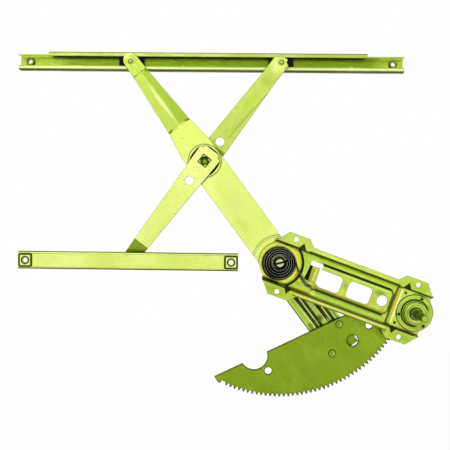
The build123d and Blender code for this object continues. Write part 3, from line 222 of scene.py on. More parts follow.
class NodeBench:
    """Adds and joins the nodes of one material, or of the world."""

    DEEPER_FADE = 1.0 * MM
    SHALLOWER_FADE = 0.3 * MM
    RIM_FROM = 0.998
    RIM_FULL = 0.90
    RAYS = 8
    VECTORS = ("Vector", "Vector")
    MIX_SHARE, MIX_UNDER, MIX_OVER, MIX_RESULT = 0, 6, 7, 2

    def __init__(self, owner: bpy.types.Material | bpy.types.World) -> None:
        """Start from the owner's tree, emptied.

        Args:
            owner: what the nodes belong to.
        """
        owner.use_nodes = True
        self.tree = owner.node_tree
        self.tree.nodes.clear()

    def add(self, kind: str, **settings: object) -> Node:
        """Add a node.

        Args:
            kind: the node's Blender type.
            settings: its properties, or its inputs by name with _ for a space.

        Returns:
            The new node.
        """
        node = self.tree.nodes.new(kind)
        for name, value in settings.items():
            if hasattr(node, name):
                setattr(node, name, value)
            else:
                node.inputs[name.replace("_", " ")].default_value = value
        return node

    def join(self, source: Socket, target: Socket) -> None:
        """Link an output to an input."""
        self.tree.links.new(source, target)

    def compute(self, operation: str, *values: Socket | float) -> Socket:
        """Add a Math node.

        Args:
            operation: its Blender name.
            values: outputs to join or plain numbers, in the order of its inputs.

        Returns:
            The result.
        """
        node = self.add("ShaderNodeMath", operation=operation)
        for socket, value in zip(node.inputs, values):
            if isinstance(value, (int, float)):
                socket.default_value = value
            else:
                self.join(value, socket)
        return node.outputs[0]

    def through(
        self, source: Socket, kind: str, ports: tuple[int | str, str], **settings: object
    ) -> Socket:
        """Send an output through a new node.

        Args:
            source: the output to send.
            kind: the node's Blender type.
            ports: the input that takes it, and the output that gives the result.
            settings: as in add().

        Returns:
            The result.
        """
        node = self.add(kind, **settings)
        self.join(source, node.inputs[ports[0]])
        return node.outputs[ports[1]]

    def size_of(self, vector: Socket) -> Socket:
        """Measure a vector's length."""
        return self.through(vector, "ShaderNodeVectorMath", (0, "Value"), operation="LENGTH")

    def part_of(self, vector: Socket, axis: str) -> Socket:
        """Take one part of a vector."""
        return self.through(vector, "ShaderNodeSeparateXYZ", (0, axis))

    def spread(self, value: Socket, **limits: object) -> Socket:
        """Map a value from one range on to another, by Map Range's own names for them."""
        return self.through(value, "ShaderNodeMapRange", ("Value", "Result"), **limits)

    def mapped(self, **settings: object) -> Socket:
        """Give the point's place on the object, turned and scaled."""
        return self.through(self.place(), "ShaderNodeMapping", self.VECTORS, **settings)

    def span(self, value: Socket, low: float, high: float) -> Socket:
        """Map low to high on to 0 to 1, smoothly and within those limits."""
        return self.spread(value, interpolation_type="SMOOTHSTEP", From_Min=low, From_Max=high)

    def noise(self, coordinates: Socket, grain: Grain) -> Socket:
        """Add a noise mask, read at the coordinates."""
        level = self.through(coordinates, "ShaderNodeTexNoise", ("Vector", "Fac"), **grain.cells())
        return self.span(level, grain.low, grain.high)

    def blend(self, colour: Socket, where: Socket, code: str) -> Socket:
        """Lay a colour over another.

        Args:
            colour: what it lies on.
            where: the mask, 1 where it covers fully.
            code: the colour to lay.

        Returns:
            The blended colour.
        """
        mix = self.add("ShaderNodeMix", data_type="RGBA")
        self.join(where, mix.inputs[self.MIX_SHARE])
        self.join(colour, mix.inputs[self.MIX_UNDER])
        mix.inputs[self.MIX_OVER].default_value = srgb(code)
        return mix.outputs[self.MIX_RESULT]

    def tint(self, colour: Socket, where: Socket, share: float, code: str) -> Socket:
        """Lay a colour over another by a share of a mask."""
        return self.blend(colour, self.compute("MULTIPLY", where, share), code)

    def place(self) -> Socket:
        """Give the point's place on the object, in metres."""
        return self.add("ShaderNodeTexCoord").outputs["Object"]

    def depth(self) -> Socket:
        """Give how far behind the ears' face a point lies, in metres."""
        return self.part_of(self.place(), "Y")

    def facing(self) -> Socket:
        """Give the direction that the surface faces."""
        return self.add("ShaderNodeNewGeometry").outputs["Normal"]

    def tilt(self, flat: float, steep: float) -> Socket:
        """Tell where the metal leans off the panel's plane, from the cosines of 0 and of 1."""
        return self.span(self.compute("ABSOLUTE", self.part_of(self.facing(), "Y")), flat, steep)

    def sheltered(self, reach: float, open_level: float, shut_level: float) -> Socket:
        """Tell where metal stands near over the surface, from the open shares of 0 and of 1."""
        shelter = self.add("ShaderNodeAmbientOcclusion", samples=self.RAYS, Distance=reach * MM)
        return self.span(shelter.outputs["AO"], open_level, shut_level)

    def rim(self, reach: float) -> Socket:
        """Tell where the piece's own sharp edge lies near.

        Args:
            reach: how near it has to lie, in millimetres.

        Returns:
            0 away from edges, 1 on them.
        """
        rounded = self.add("ShaderNodeBevel", samples=self.RAYS, Radius=reach * MM)
        match = self.add("ShaderNodeVectorMath", operation="DOT_PRODUCT")
        self.join(rounded.outputs["Normal"], match.inputs[0])
        self.join(self.facing(), match.inputs[1])
        return self.span(match.outputs["Value"], self.RIM_FROM, self.RIM_FULL)

    def grain_space(self, angle: float, stretch: float) -> Socket:
        """Give the place along a grain at an angle, where marks are stretched so many times."""
        turned = self.mapped(Rotation=(0, math.radians(angle), 0))
        return self.through(turned, "ShaderNodeMapping", self.VECTORS, Scale=(1 / stretch, 1, 1))

    def from_middle(self, mark: Mark) -> Socket:
        """Measure how far a point lies from a mark's middle.

        Args:
            mark: the mark.

        Returns:
            0 at its middle, 1 on its outline.
        """
        local = self.mapped(
            vector_type="TEXTURE",
            Location=(mark.place[0] * MM, 0, mark.place[1] * MM),
            Rotation=(0, -math.radians(mark.angle), 0),
            Scale=(mark.size[0] * MM, 1 / MM, mark.size[1] * MM),
        )
        if mark.form is Outline.ROUND:
            return self.size_of(local)
        sides = self.through(local, "ShaderNodeVectorMath", (0, "Vector"), operation="ABSOLUTE")
        offsets = []
        for axis, size in zip("XZ", mark.size):
            slenderness = size / min(mark.size) if mark.form is Outline.BOX else 1.0
            side = self.part_of(sides, axis)
            offsets.append(self.compute("MULTIPLY_ADD", side, slenderness, 1.0 - slenderness))
        return self.compute(mark.form.value, *offsets)

    def reach(self, mark: Mark) -> Socket:
        """Tell where a mark lies.

        Args:
            mark: the mark to lay.

        Returns:
            1 within the mark, falling softly to 0 at its edge.
        """
        distance = self.from_middle(mark)
        if mark.rim:
            off_edge = self.compute("ABSOLUTE", self.compute("SUBTRACT", distance, 1.0))
            distance = self.compute("MULTIPLY", off_edge, mark.size[0] / mark.rim)
        return self.span(distance, 1.0, 1.0 - mark.soft)

    def between_depths(self, share: Socket, mark: Mark) -> Socket:
        """Keep a mark's share only between the depths that the mark names.

        Args:
            share: how fully the mark covers.
            mark: the mark.

        Returns:
            That share, 0 outside the depths.
        """
        if mark.deeper_than is not None:
            level = mark.deeper_than * MM
            behind = self.span(self.depth(), level, level + self.DEEPER_FADE)
            share = self.compute("MULTIPLY", share, behind)
        if mark.shallower_than is not None:
            level = mark.shallower_than * MM
            ahead = self.span(self.depth(), level + self.SHALLOWER_FADE, level)
            share = self.compute("MULTIPLY", share, ahead)
        return share

    def lay(self, marks: tuple[Mark, ...], colour: Socket) -> Socket:
        """Lay marks over a colour, one after another.

        Args:
            marks: the marks to lay.
            colour: what they lie on.

        Returns:
            The marked colour.
        """
        for mark in marks:
            share = self.compute("MULTIPLY", self.reach(mark), mark.share)
            colour = self.blend(colour, self.between_depths(share, mark), mark.colour)
        return colour

    def body(self, code: str) -> Socket:
        """Give the colour that all others lie on.

        Args:
            code: its six digits.

        Returns:
            The colour.
        """
        base = self.add("ShaderNodeRGB").outputs[0]
        base.default_value = srgb(code)
        return base

    def surface(
        self, colour: Socket, grain: Socket, rough: Point, bump: Point, **constants: float
    ) -> None:
        """Finish the material with its shader.

        Args:
            colour: the surface's colour.
            grain: the mask that roughens and raises it.
            rough: the roughness at 0 and at 1 of the grain.
            bump: the grain's strength, and its height in metres.
            constants: the shader's even values, by their names with _ for a space.
        """
        shader = self.add("ShaderNodeBsdfPrincipled", **constants)
        self.join(colour, shader.inputs["Base Color"])
        self.join(self.spread(grain, To_Min=rough[0], To_Max=rough[1]), shader.inputs["Roughness"])
        raised = self.add("ShaderNodeBump", Strength=bump[0], Distance=bump[1])
        self.join(grain, raised.inputs["Height"])
        self.join(raised.outputs["Normal"], shader.inputs["Normal"])
        self.send(shader, "ShaderNodeOutputMaterial")

    def send(self, shader: Node, output: str) -> None:
        """Join a shader to a new output node."""
        self.join(shader.outputs[0], self.add(output).inputs["Surface"])

    def seen(self) -> Socket:
        """Tell whether a ray sees directly, in a mirror or through glass.

        Returns:
            1 if so, else 0.
        """
        rays = self.add("ShaderNodeLightPath").outputs
        direct = self.compute("MAXIMUM", rays["Is Camera Ray"], rays["Is Glossy Ray"])
        return self.compute("MAXIMUM", direct, rays["Is Transmission Ray"])

    def mixed(self, share: Socket, under: Node, over: Node) -> Node:
        """Mix two shaders.

        Args:
            share: how much of the second.
            under: the first shader.
            over: the second one.

        Returns:
            The mix.
        """
        mix = self.add("ShaderNodeMixShader")
        for source, target in zip((share, under.outputs[0], over.outputs[0]), mix.inputs):
            self.join(source, target)
        return mix


@dataclass(frozen=True)
class PassivatedSteel:
    """Zinc plate under a coloured chromate film: cloudy tint, rolling marks and fine pits, with
    painted light and shade over it.

    The slope and steep colours paint shade by how far a face leans, and painted light on the
    drum's walls. The recess shade paints shade on faces behind deep_from, the rim colour paints
    shade along sharp edges, and the corner colour paints shade where other metal stands near.
    Slopes are told by the cosine of their lean, deep_from is in metres, reaches are in
    millimetres. Tints and painted shade lie under the slopes' colours, lines over them, and over
    covers all.
    """

    slot: str
    body: str
    bright: str
    shade: str
    cloud: str
    bright_share: float = 0.7
    cloud_share: float = 0.5
    # Painted shade on faces that lean off the panel's plane; where these colours are lighter than
    # the body, painted light.
    slope: str = "B0D040"
    slope_share: float = 0.9
    slope_from: float = 0.999
    slope_to: float = 0.985
    steep: str = "55700C"
    steep_share: float = 0.9
    steep_from: float = 0.95
    steep_to: float = 0.80
    # Painted shade on recessed faces behind deep_from.
    deep: str = "5C7808"
    deep_share: float = 0.9
    deep_from: float = 0.0
    deep_fade: float = 2 * MM
    # Painted shade where other metal stands near, by ambient occlusion.
    corner: str = "1C2602"
    corner_share: float = 0.9
    corner_reach: float = 5.0
    corner_open: float = 0.86
    corner_shut: float = 0.42
    # Painted shade along the piece's own sharp edges.
    rim: str = "34440A"
    rim_share: float = 0.4
    rim_reach: float = 2.2
    pit_share: float = 0.35
    grain_angle: float = 0.0
    cloud_stretch: float = 1.6
    streak_stretch: float = 14.0
    streak_share: float = 0.12
    streak_height: float = 0.06
    streak_depth: float = 0.15 * MM
    metallic: float = 0.85
    roughness: float = 0.36
    smoother: float = 0.07
    rougher: float = 0.12
    # Tints and painted shade under the slopes' colours, lines of tone, painted shade and highlights
    # over them.
    tints: tuple[Mark, ...] = ()
    lines: tuple[Mark, ...] = ()
    over: tuple[Mark, ...] = ()

    def film(self, bench: NodeBench, streaks: Socket) -> Socket:
        """Colour the film by its clouds and marks, and paint light and shade by slopes, depth,
        edges and corners.

        Args:
            bench: the material's nodes.
            streaks: the rolling marks.

        Returns:
            The film's colour.
        """
        even = bench.grain_space(self.grain_angle, self.cloud_stretch)
        colour = bench.body(self.body)
        colour = bench.tint(colour, bench.noise(even, TONE), self.bright_share, self.bright)
        colour = bench.tint(colour, streaks, self.streak_share, self.shade)
        colour = bench.tint(colour, bench.noise(even, CLOUDS), self.cloud_share, self.cloud)
        colour = bench.lay(self.tints, colour)
        # Painted shade on leaning faces, painted light where the slope colours are lighter.
        sloping = bench.tilt(self.slope_from, self.slope_to)
        colour = bench.tint(colour, sloping, self.slope_share, self.slope)
        steep = bench.tilt(self.steep_from, self.steep_to)
        colour = bench.tint(colour, steep, self.steep_share, self.steep)
        # Painted shade on recessed faces.
        if self.deep_from:
            below = bench.span(bench.depth(), self.deep_from, self.deep_from + self.deep_fade)
            colour = bench.tint(colour, below, self.deep_share, self.deep)
        colour = bench.lay(self.lines, colour)
        pitted = bench.compute("MULTIPLY", bench.noise(even, PITS), bench.noise(even, PIT_PATCHES))
        colour = bench.tint(colour, pitted, self.pit_share, self.shade)
        # Painted shade along sharp edges and in corners where other metal stands near.
        colour = bench.tint(colour, bench.rim(self.rim_reach), self.rim_share, self.rim)
        shaded_corners = bench.sheltered(self.corner_reach, self.corner_open, self.corner_shut)
        colour = bench.tint(colour, shaded_corners, self.corner_share, self.corner)
        return bench.lay(self.over, colour)

    def material(self) -> bpy.types.Material:
        """Build the finish.

        Returns:
            A material of nodes that follow the metal's place and direction.
        """
        made = bpy.data.materials.new(f"{self.slot}_{round(self.grain_angle)}")
        bench = NodeBench(made)
        along_grain = bench.grain_space(self.grain_angle, self.streak_stretch)
        streaks = bench.noise(along_grain, ROLLING_MARKS)
        bench.surface(
            self.film(bench, streaks),
            streaks,
            (self.roughness - self.smoother, self.roughness + self.rougher),
            (self.streak_height, self.streak_depth),
            Metallic=self.metallic,
        )
        return made


@dataclass(frozen=True)
class DarkSurface:
    """Oil-blackened steel or black nylon: near black and scuffed grey, with a painted highlight on
    any crest.
    """

    slot: str
    body: str
    scuff: str
    metallic: float
    roughness: float
    gloss: float
    grain: Grain
    # A painted highlight on faces that look straight out, the crests of the coil's turns.
    crest_highlight: str = ""
    crest_from: float = 0.97
    crest_full: float = 0.998
    scuff_share: float = 0.6
    smoother: float = 0.06
    rougher: float = 0.12
    grain_height: float = 0.15
    grain_depth: float = 0.1 * MM

    def material(self) -> bpy.types.Material:
        """Build the finish.

        Returns:
            A material of nodes.
        """
        made = bpy.data.materials.new(self.slot)
        bench = NodeBench(made)
        place = bench.grain_space(0.0, 1.0)
        colour = bench.tint(
            bench.body(self.body), bench.noise(place, SCUFFS), self.scuff_share, self.scuff
        )
        # Painted highlight on the crests, broken up by noise.
        if self.crest_highlight:
            top = bench.tilt(self.crest_from, self.crest_full)
            crest_highlight_mask = bench.compute("MULTIPLY", top, bench.noise(place, CREST_HIGHLIGHT_SPOTS))
            colour = bench.blend(colour, crest_highlight_mask, self.crest_highlight)
        bench.surface(
            colour,
            bench.noise(place, self.grain),
            (self.roughness - self.smoother, self.roughness + self.rougher),
            (self.grain_height, self.grain_depth),
            Metallic=self.metallic,
            Specular_IOR_Level=self.gloss,
        )
        return made


def pale(grain_angle: float, **settings: object) -> PassivatedSteel:
    """Give the arms' and channels' pale lime.

    Args:
        grain_angle: the grain's direction, degrees from the right.
        settings: fields that differ from the plain film.

    Returns:
        The finish.
    """
    plain = PassivatedSteel(
        slot="pale_passivated_steel", body="E6F67C", bright="F4FF98", shade="A8BE3A",
        cloud="D8EC66",
        grain_angle=grain_angle,
    )
    return replace(plain, **settings)


ALONG_ARM = Ruler(Place.PIVOT, 127.0)
ALONG_EQUALIZER = Ruler(Place.CROSS, 53.0)
ALONG_PLATE = Ruler(Place.PIVOT, -19.8)
ALONG_CHANNEL = Ruler(Place.PIVOT, 0.0)
PIVOT = Place.PIVOT.value
CROSS = Place.CROSS.value
CRANK = Place.CRANK.value

SECTOR_RIVETS = ((-124.5, -16.8), (-152.7, 16.5))
HOUSING_RIVETS = tuple(step(CRANK, turn, 22.5) for turn in (64, 184, 304))
CHANNEL_NUTS = (-366.7, -70.1)
STUD_HEADS = (Place.ARM_TOP, Place.EQUALIZER_TOP)
EAR_POCKETS = tuple((along, aside) for along in (23.0, 183.4) for aside in (-29.6, 29.6))
STUD_EYE_DROP = 1.2
COIL_DRIFT = 1.8
COIL_DRIFT_ANGLE = 247.0
COIL_MIDDLE = step(PIVOT, COIL_DRIFT_ANGLE, COIL_DRIFT)
BEHIND_EARS = 6.0
FLUTES_MIDDLE = -82.5
FLUTES_REACH = 52.5
KEY_RADIUS = 6.9
SPRING_GRAIN = Grain(1400.0, 3.0, 0.35, 0.7)
NYLON_GRAIN = Grain(2200.0, 3.0, 0.35, 0.7)


def stud_eye(head: Place) -> Point:
    """Find the middle of a stud head's riveting ring."""
    return step(head.value, -90, STUD_EYE_DROP)


def plate_tone_and_sheen(along: float, aside: float, size: Point, colour: str, share: float = 0.8) -> Mark:
    """Make a soft patch on the back plate, of the film's tone and in places of painted sheen."""
    return ALONG_PLATE.mark(along, aside, size, colour, share, soft=0.9)


def plate_tone_and_light_line(along: float, aside: float, size: Point, colour: str, share: float = 0.9) -> Mark:
    """Make a line on the back plate: painted shade, shadow and highlights along steps, edges and
    bends, and in places the film's golden tone.
    """
    return ALONG_PLATE.box(along, aside, size, colour, share, 0.85)


def flute_shading_band(aside: float, half_width: float, colour: str) -> Mark:
    """Make a band of painted light along one of the flutes of the arm's tail, dark for a shaded
    flank and bright for a highlight; a narrow one has softer sides.
    """
    soft = 0.35 if half_width > 1 else 0.8
    return ALONG_ARM.box(FLUTES_MIDDLE, aside, (FLUTES_REACH, half_width), colour, 0.95, soft)


# Painted shade along the arm's creases with dark wedges at their ends, a dark dot, a ring of
# painted shade round the cross washer, and a painted highlight streak down the sloped stretch.
ARM_LINES = (
    ALONG_ARM.box(343, 0, (0.9, 13), "7C9820", 0.9),
    ALONG_ARM.mark(341, -10, (3.4, 4.5), "6E8C18", 0.9),
    ALONG_ARM.mark(246.6, 15, (2.0, 7.0), "5E7C10", 1.0, turn=14),
    ALONG_ARM.mark(246.6, -15, (2.0, 7.0), "5E7C10", 1.0, turn=-14),
    disc(ALONG_ARM.at(228.4, 6.4), 1.1, "50600C"),
    disc(CROSS, 24.6, "5A7010", 0.5, rim=0.8),
    ALONG_ARM.mark(290, 0, (46, 4.0), "EAF6A4", 0.8, soft=0.95),
)
# Painted shade on the flutes' flanks and painted highlights on their edges, then blotches across
# the tail.
FLUTE_SHADING = (
    flute_shading_band(23.6, 1.2, "4E6210"),
    flute_shading_band(18.0, 4.2, "A8C840"),
    flute_shading_band(14.4, 1.2, "DCEC88"),
    flute_shading_band(10.9, 2.5, "22260A"),
    flute_shading_band(7.6, 0.8, "EEF6A0"),
    flute_shading_band(4.6, 2.6, "2A3206"),
    flute_shading_band(-0.8, 3.0, "B4C262"),
    flute_shading_band(-4.3, 0.8, "E8F490"),
    flute_shading_band(-7.9, 2.9, "2C3408"),
    flute_shading_band(-11.3, 0.8, "EAF29A"),
    flute_shading_band(-14.6, 2.6, "27380C"),
    flute_shading_band(-20.5, 3.4, "A4CC5C"),
    # Dark blotches of painted shade, then a green one and a pale one of painted reflection.
    ALONG_ARM.mark(-101, 3, (9, 8), "3A4A10", 0.85, soft=0.8),
    ALONG_ARM.mark(-101, -2, (6, 4), "3E7A40", 0.7, soft=0.9),
    ALONG_ARM.mark(-103, 18, (8, 4.5), "6A8A0C", 0.9, soft=0.6),
    ALONG_ARM.mark(-114, -6, (10, 6), "B8DC6C", 0.7, soft=0.8),
)
# Painted shadow: black crescents where the arms' edges stand over the washer, and a dark ring of
# painted shade round its rim.
CROSS_SHADOWS = (
    ALONG_EQUALIZER.mark(0, 17.8, (13.5, 3.4), "0C1200", 1.0, soft=0.2),
    ALONG_EQUALIZER.mark(0, -17.8, (13.5, 3.4), "0C1200", 1.0, soft=0.2),
    ALONG_EQUALIZER.mark(17.8, 0, (3.8, 13.5), "0C1200", 1.0, soft=0.2),
    disc(CROSS, 23.5, "5C6C18", 0.5, rim=0.7),
)
# The film's green and golden tones; the bright green bands along the beads' crowns are painted
# highlights.
PLATE_TONES_AND_SHEEN = (
    plate_tone_and_sheen(60, 33, (60, 5), "D4E66C", 0.9),
    plate_tone_and_sheen(5, 40, (16, 12), "C8E060"),
    plate_tone_and_sheen(150, 33, (30, 4), "CCDC50", 0.7),
    plate_tone_and_sheen(200, 38, (26, 12), "9CC02C"),
    plate_tone_and_sheen(200, -38, (26, 12), "98BC2C"),
    plate_tone_and_sheen(5, -40, (24, 12), "98BC28", 0.9),
    plate_tone_and_sheen(6, -26, (18, 4), "DCEC54", 0.9),
    plate_tone_and_sheen(36, -19, (9, 5), "98BC2C", 0.9),
    plate_tone_and_sheen(46, 19, (14, 6), "C8E84C", 0.7),
    plate_tone_and_sheen(70, 26, (20, 2.4), "8CD40C", 0.9),
    plate_tone_and_sheen(110, 25, (60, 3.0), "B4DC38", 0.7),
    plate_tone_and_sheen(76, -23, (26, 3.6), "92D834", 0.9),
    plate_tone_and_sheen(125, -23, (38, 3.2), "A0D23C"),
    plate_tone_and_sheen(99, -8, (6, 8), "DCD83C", 0.9),
    plate_tone_and_sheen(101, 2, (4, 7), "AC9A74"),
    plate_tone_and_sheen(146, -4, (6, 9), "CCB854"),
    plate_tone_and_sheen(152, 9, (12, 7), "8A9E28", 0.9),
    plate_tone_and_sheen(162, -12, (8, 4), "C8A03C", 0.7),
)
# Painted light and shade on the plate, with some golden lines of the film's tone.
PLATE_TONE_AND_LIGHT_LINES = (
    disc(PIVOT, 33.0, "E0E640", 0.9, deeper_than=BEHIND_EARS, soft=0.1),
    ALONG_PLATE.mark(31, -9, (6, 9), "C8B604", 0.9, soft=0.7, deeper_than=BEHIND_EARS),
    disc(COIL_MIDDLE, 27.4, "F2F690", 0.8, rim=1.0, deeper_than=BEHIND_EARS),
    # Black over the seat's floor inside the coil: painted shade where it shows between the turns.
    disc(COIL_MIDDLE, 26.0, "0A0C04", deeper_than=BEHIND_EARS, soft=0.08),
    # Along the flanges and beads: bright lines of painted highlight on edges, dark lines of painted
    # shade under the flanges and at the beads' inner steps, and golden lines of the film's tone.
    plate_tone_and_light_line(104, -34.2, (70, 1.5), "ECEA88"),
    plate_tone_and_light_line(116, -38.6, (60, 2.0), "8C6C20"),
    plate_tone_and_light_line(104, -36.6, (72, 1.7), "848418", 1.0),
    plate_tone_and_light_line(110, -15.2, (56, 1.6), "B49430"),
    plate_tone_and_light_line(44, -27.0, (14, 2.0), "C8B808"),
    plate_tone_and_light_line(103, 30.2, (70, 2.0), "2C3002", 1.0),
    plate_tone_and_light_line(-2, 30.0, (24, 1.2), "12140A", 1.0),
    plate_tone_and_light_line(98, -30.6, (118, 1.7), "2C2C04", 1.0),
    plate_tone_and_light_line(98, -32.6, (66, 0.9), "A89C30", 0.7),
    plate_tone_and_light_line(112, 19.2, (54, 3.0), "1C2802", 1.0),
    plate_tone_and_light_line(112, 15.6, (52, 1.4), "DCEA74", 0.8),
    plate_tone_and_light_line(110, -22.2, (58, 1.6), "94B230", 0.8),
    plate_tone_and_light_line(110, -19.4, (56, 2.6), "2A3602", 1.0),
    plate_tone_and_light_line(110, 26.8, (60, 1.8), "90B020", 0.8),
    # The ramp: a golden band, a painted highlight on its crest and painted shade at its foot.
    plate_tone_and_light_line(175.4, 0, (2.6, 27), "C8B81C", 0.95),
    plate_tone_and_light_line(179.2, 0, (1.8, 27), "F6F6A4", 1.0),
    plate_tone_and_light_line(171.4, 0, (1.4, 27.5), "2A2404", 1.0),
    plate_tone_and_light_line(203, 30.2, (22, 1.2), "2A2008"),
    plate_tone_and_light_line(203, -30.2, (22, 1.2), "4A3410"),
    plate_tone_and_light_line(203, -32.6, (22, 0.8), "D8CC78", 0.8),
    # The tab: a painted shadow beside its free edge, then two-tone painted shading with a highlight
    # line along its bend.
    ALONG_PLATE.box(43.4, 2, (1.6, 11.5), "141404", 1.0, 0.4, turn=-6),
    ALONG_PLATE.box(49.4, -0.5, (2.6, 11), "AAA628", 0.9, 0.3),
    ALONG_PLATE.box(52.4, -0.5, (0.9, 11), "EAEA9C", 0.9, 0.6),
    ALONG_PLATE.box(55.2, -0.5, (2.0, 11), "C2C454", 0.9, 0.3),
    # Painted shade inside the ears' pockets.
    *(
        ALONG_PLATE.mark(
            *pocket, (5.9, 8.8), "1C1A06", 0.95,
            form=Outline.DIAMOND, soft=0.25, deeper_than=0.4, shallower_than=4.6,
        )
        for pocket in EAR_POCKETS
    ),
    # A black ring of painted shadow on the seat's wall.
    disc(PIVOT, 34.6, "0C1200", rim=1.5, deeper_than=BEHIND_EARS, soft=0.4),
)


class Finish(Enum):
    """Every finish on the regulator, by the piece that shows it first."""

    ARM = pale(
        ALONG_ARM.angle,
        slope_share=0.0, steep="3C5208",
        lines=ARM_LINES + FLUTE_SHADING,
        # Two pale patches, then painted shade: the tail, the foot facet and the roofed stretch
        # darker as faces that lean, and the roof's right half darker still.
        tints=(
            ALONG_ARM.mark(104, 0, (34, 18), "E0DC8C", 0.3, soft=0.9),
            ALONG_ARM.mark(76, 12, (26, 10), "CCE45C", 0.6, soft=0.9),
            ALONG_ARM.mark(-80, 0, (75, 26), "98B43C", 0.8, soft=0.5),
            ALONG_ARM.box(-154, 0, (19, 40), "7C981A", 1.0, 0.1),
            ALONG_ARM.box(358, 0, (15, 20), "B4CC50", 0.9, 0.1),
            ALONG_ARM.box(294, 0, (49, 26), "B4CC50", 0.9, 0.08),
            ALONG_ARM.box(294, -12, (49, 12), "98B434", 0.9, 0.4),
        ),
    )
    EQUALIZER = pale(
        ALONG_EQUALIZER.angle,
        pit_share=0.75, body="ECF688", bright="F6FFA0", cloud="E2F078", slope="7E9C10",
        slope_share=0.95, slope_from=0.998, slope_to=0.993, steep="4E6E06",
    )
    UPPER_HALF = pale(
        ALONG_EQUALIZER.angle,
        body="BCD258", bright="CADE6C", shade="96AC34", cloud="B4CC4C", steep="4E6A08",
        pit_share=0.7,
        tints=(
            ALONG_EQUALIZER.mark(108, 0, (30, 9), "B4D444", 0.7, soft=0.8),
            ALONG_EQUALIZER.mark(146, 0, (11, 13), "AEC648", 0.7, soft=0.8),
            ALONG_EQUALIZER.mark(177, 0, (19, 17), "E6F084", 0.9, soft=0.7),
        ),
        lines=(
            ALONG_EQUALIZER.box(92, -9.5, (44, 0.7), "6C8814", 0.8, turn=-3.5),
            ALONG_EQUALIZER.box(84, -6.5, (22, 0.6), "8CA828", 0.7, turn=-4.5),
            ALONG_EQUALIZER.box(24, 0, (4.5, 18), "5C7410", 0.8, 0.8),
        ),
    )
    KEY = pale(
        ALONG_EQUALIZER.angle,
        # Painted shade: a dark outline in the gap round the key and a dark cup, darkest at its top
        # and lighter below, with a painted highlight in its middle.
        lines=(
            ALONG_EQUALIZER.box(0, 0, (7.4, 7.4), "2C3A06", 1.0, 0.3, rim=1.7),
            disc(CROSS, KEY_RADIUS, "5A7A04", soft=0.12),
            Mark(step(CROSS, 90, 3.6), (5.0, 2.4), "304204", 0.9, soft=0.8),
            Mark(step(CROSS, -80, 2.6), (4.2, 3.4), "8CB014", 0.8, soft=0.9),
            disc(CROSS, 1.5, "D8EC70", 0.9, soft=0.8),
        ),
    )
    WASHER = pale(ALONG_EQUALIZER.angle, lines=CROSS_SHADOWS)
    CHANNEL = pale(
        0.0,
        slope_share=0.4, steep="4E6410", steep_from=0.90, steep_to=0.45,
        # Dark lines of painted shade along the channel's top and bottom edges.
        lines=(
            level_box((-240.0, 22.4), (240.0, 2.2), "242E04", 1.0, soft=0.5),
            level_box((-240.0, 47.6), (240.0, 1.4), "3C4A0C", 0.8, soft=0.5),
        ),
    )
    CHANNEL_NUT = pale(
        0.0,
        steep="4E6410",
        # Round each nut: a dark ring of painted shade in the gap to the channel's hole, a pale
        # face, and a dark ring round its hole.
        lines=tuple(
            mark
            for along in CHANNEL_NUTS
            for mark in (
                ALONG_CHANNEL.box(along, 0, (9.2, 9.2), "3A4A08", 1.0, 0.4, rim=2.4),
                ALONG_CHANNEL.box(along, 0, (6.4, 6.4), "F4FA9C", 0.9, 0.15),
                disc(ALONG_CHANNEL.at(along), 5.0, "4A5A0A", rim=1.4, soft=0.3),
            )
        ),
    )
    # The channel's recessed floor gets painted shade; the lines paint shade along the top edge and
    # under the upper lip with a highlight line on the lip, and the ends are lighter, where the
    # painted floor shade is lifted.
    RAIL = pale(
        0.0,
        body="B6C65E", bright="CCDC80", shade="8C9C3C", cloud="A8BA4C", slope_share=0.5,
        slope="8C9C30", steep="4A5A0C", steep_from=0.90, steep_to=0.45, deep="6A8800",
        deep_from=30.5 * MM, metallic=0.97, corner="0C1002",
        lines=(
            level_box((-197.0, 340.3), (245.6, 1.3), "54640E", 0.85, shallower_than=30.0),
            level_box((-200.0, 317.4), (300.0, 1.1), "F4F8C4", 0.95, soft=0.8, shallower_than=30.0),
            level_box((-200.0, 314.2), (300.0, 1.1), "36440A", 0.95, shallower_than=34.0),
            level_box((-484.0, 327.2), (84.0, 50.0), "A2BA3A", 0.9, soft=0.7, deeper_than=33.0),
            level_box((90.0, 327.2), (60.0, 45.0), "A2BA3A", 0.9, soft=0.7, deeper_than=33.0),
        ),
        # The upper lip's ends keep a plain lighter colour over all painted shade.
        over=(
            level_box((-464.0, 338.5), (21.0, 4.6), "A2BA3A", 0.9, soft=0.1),
            level_box((70.0, 338.5), (21.0, 4.6), "A2BA3A", 0.9, soft=0.1),
        ),
    )
    RAIL_NUT = pale(
        0.0,
        body="84962C", bright="E0EC8C", shade="4C5C08", cloud="5E6E14", cloud_share=0.8,
        steep="2A3604", steep_from=0.985, rim_share=0.9,
    )
    STUD_HEAD = pale(
        0.0,
        body="C0D45A", cloud="B0C44C", steep="5A6C14", steep_from=0.97,
        lines=tuple(
            mark
            for head in STUD_HEADS
            for mark in (
                disc(stud_eye(head), 3.0, "7C8C2C", rim=1.1, soft=0.5),
                disc(stud_eye(head), 1.5, "A8B850", soft=0.5),
                disc(step(head.value, -60, 1.5), 1.1, "4E5C10", 0.9, soft=0.6),
            )
        ),
    )
    SECTOR = PassivatedSteel(
        slot="olive_passivated_steel",
        # Dark rings of painted shade round the rivet heads; the rim colour paints dark shade along
        # every edge and tooth.
        lines=tuple(
            disc(ALONG_ARM.at(*rivet), 4.9, "3C4C08", 0.9, rim=1.3) for rivet in SECTOR_RIVETS
        ),
        body="88A61E", bright="96B428", shade="5C760C", cloud="7E9A1A", cloud_share=0.7,
        streak_share=0.06, streak_height=0.03, slope="5C760C", rim="222E02", rim_share=0.85,
        rim_reach=4.0, grain_angle=-63.0, roughness=0.42,
    )
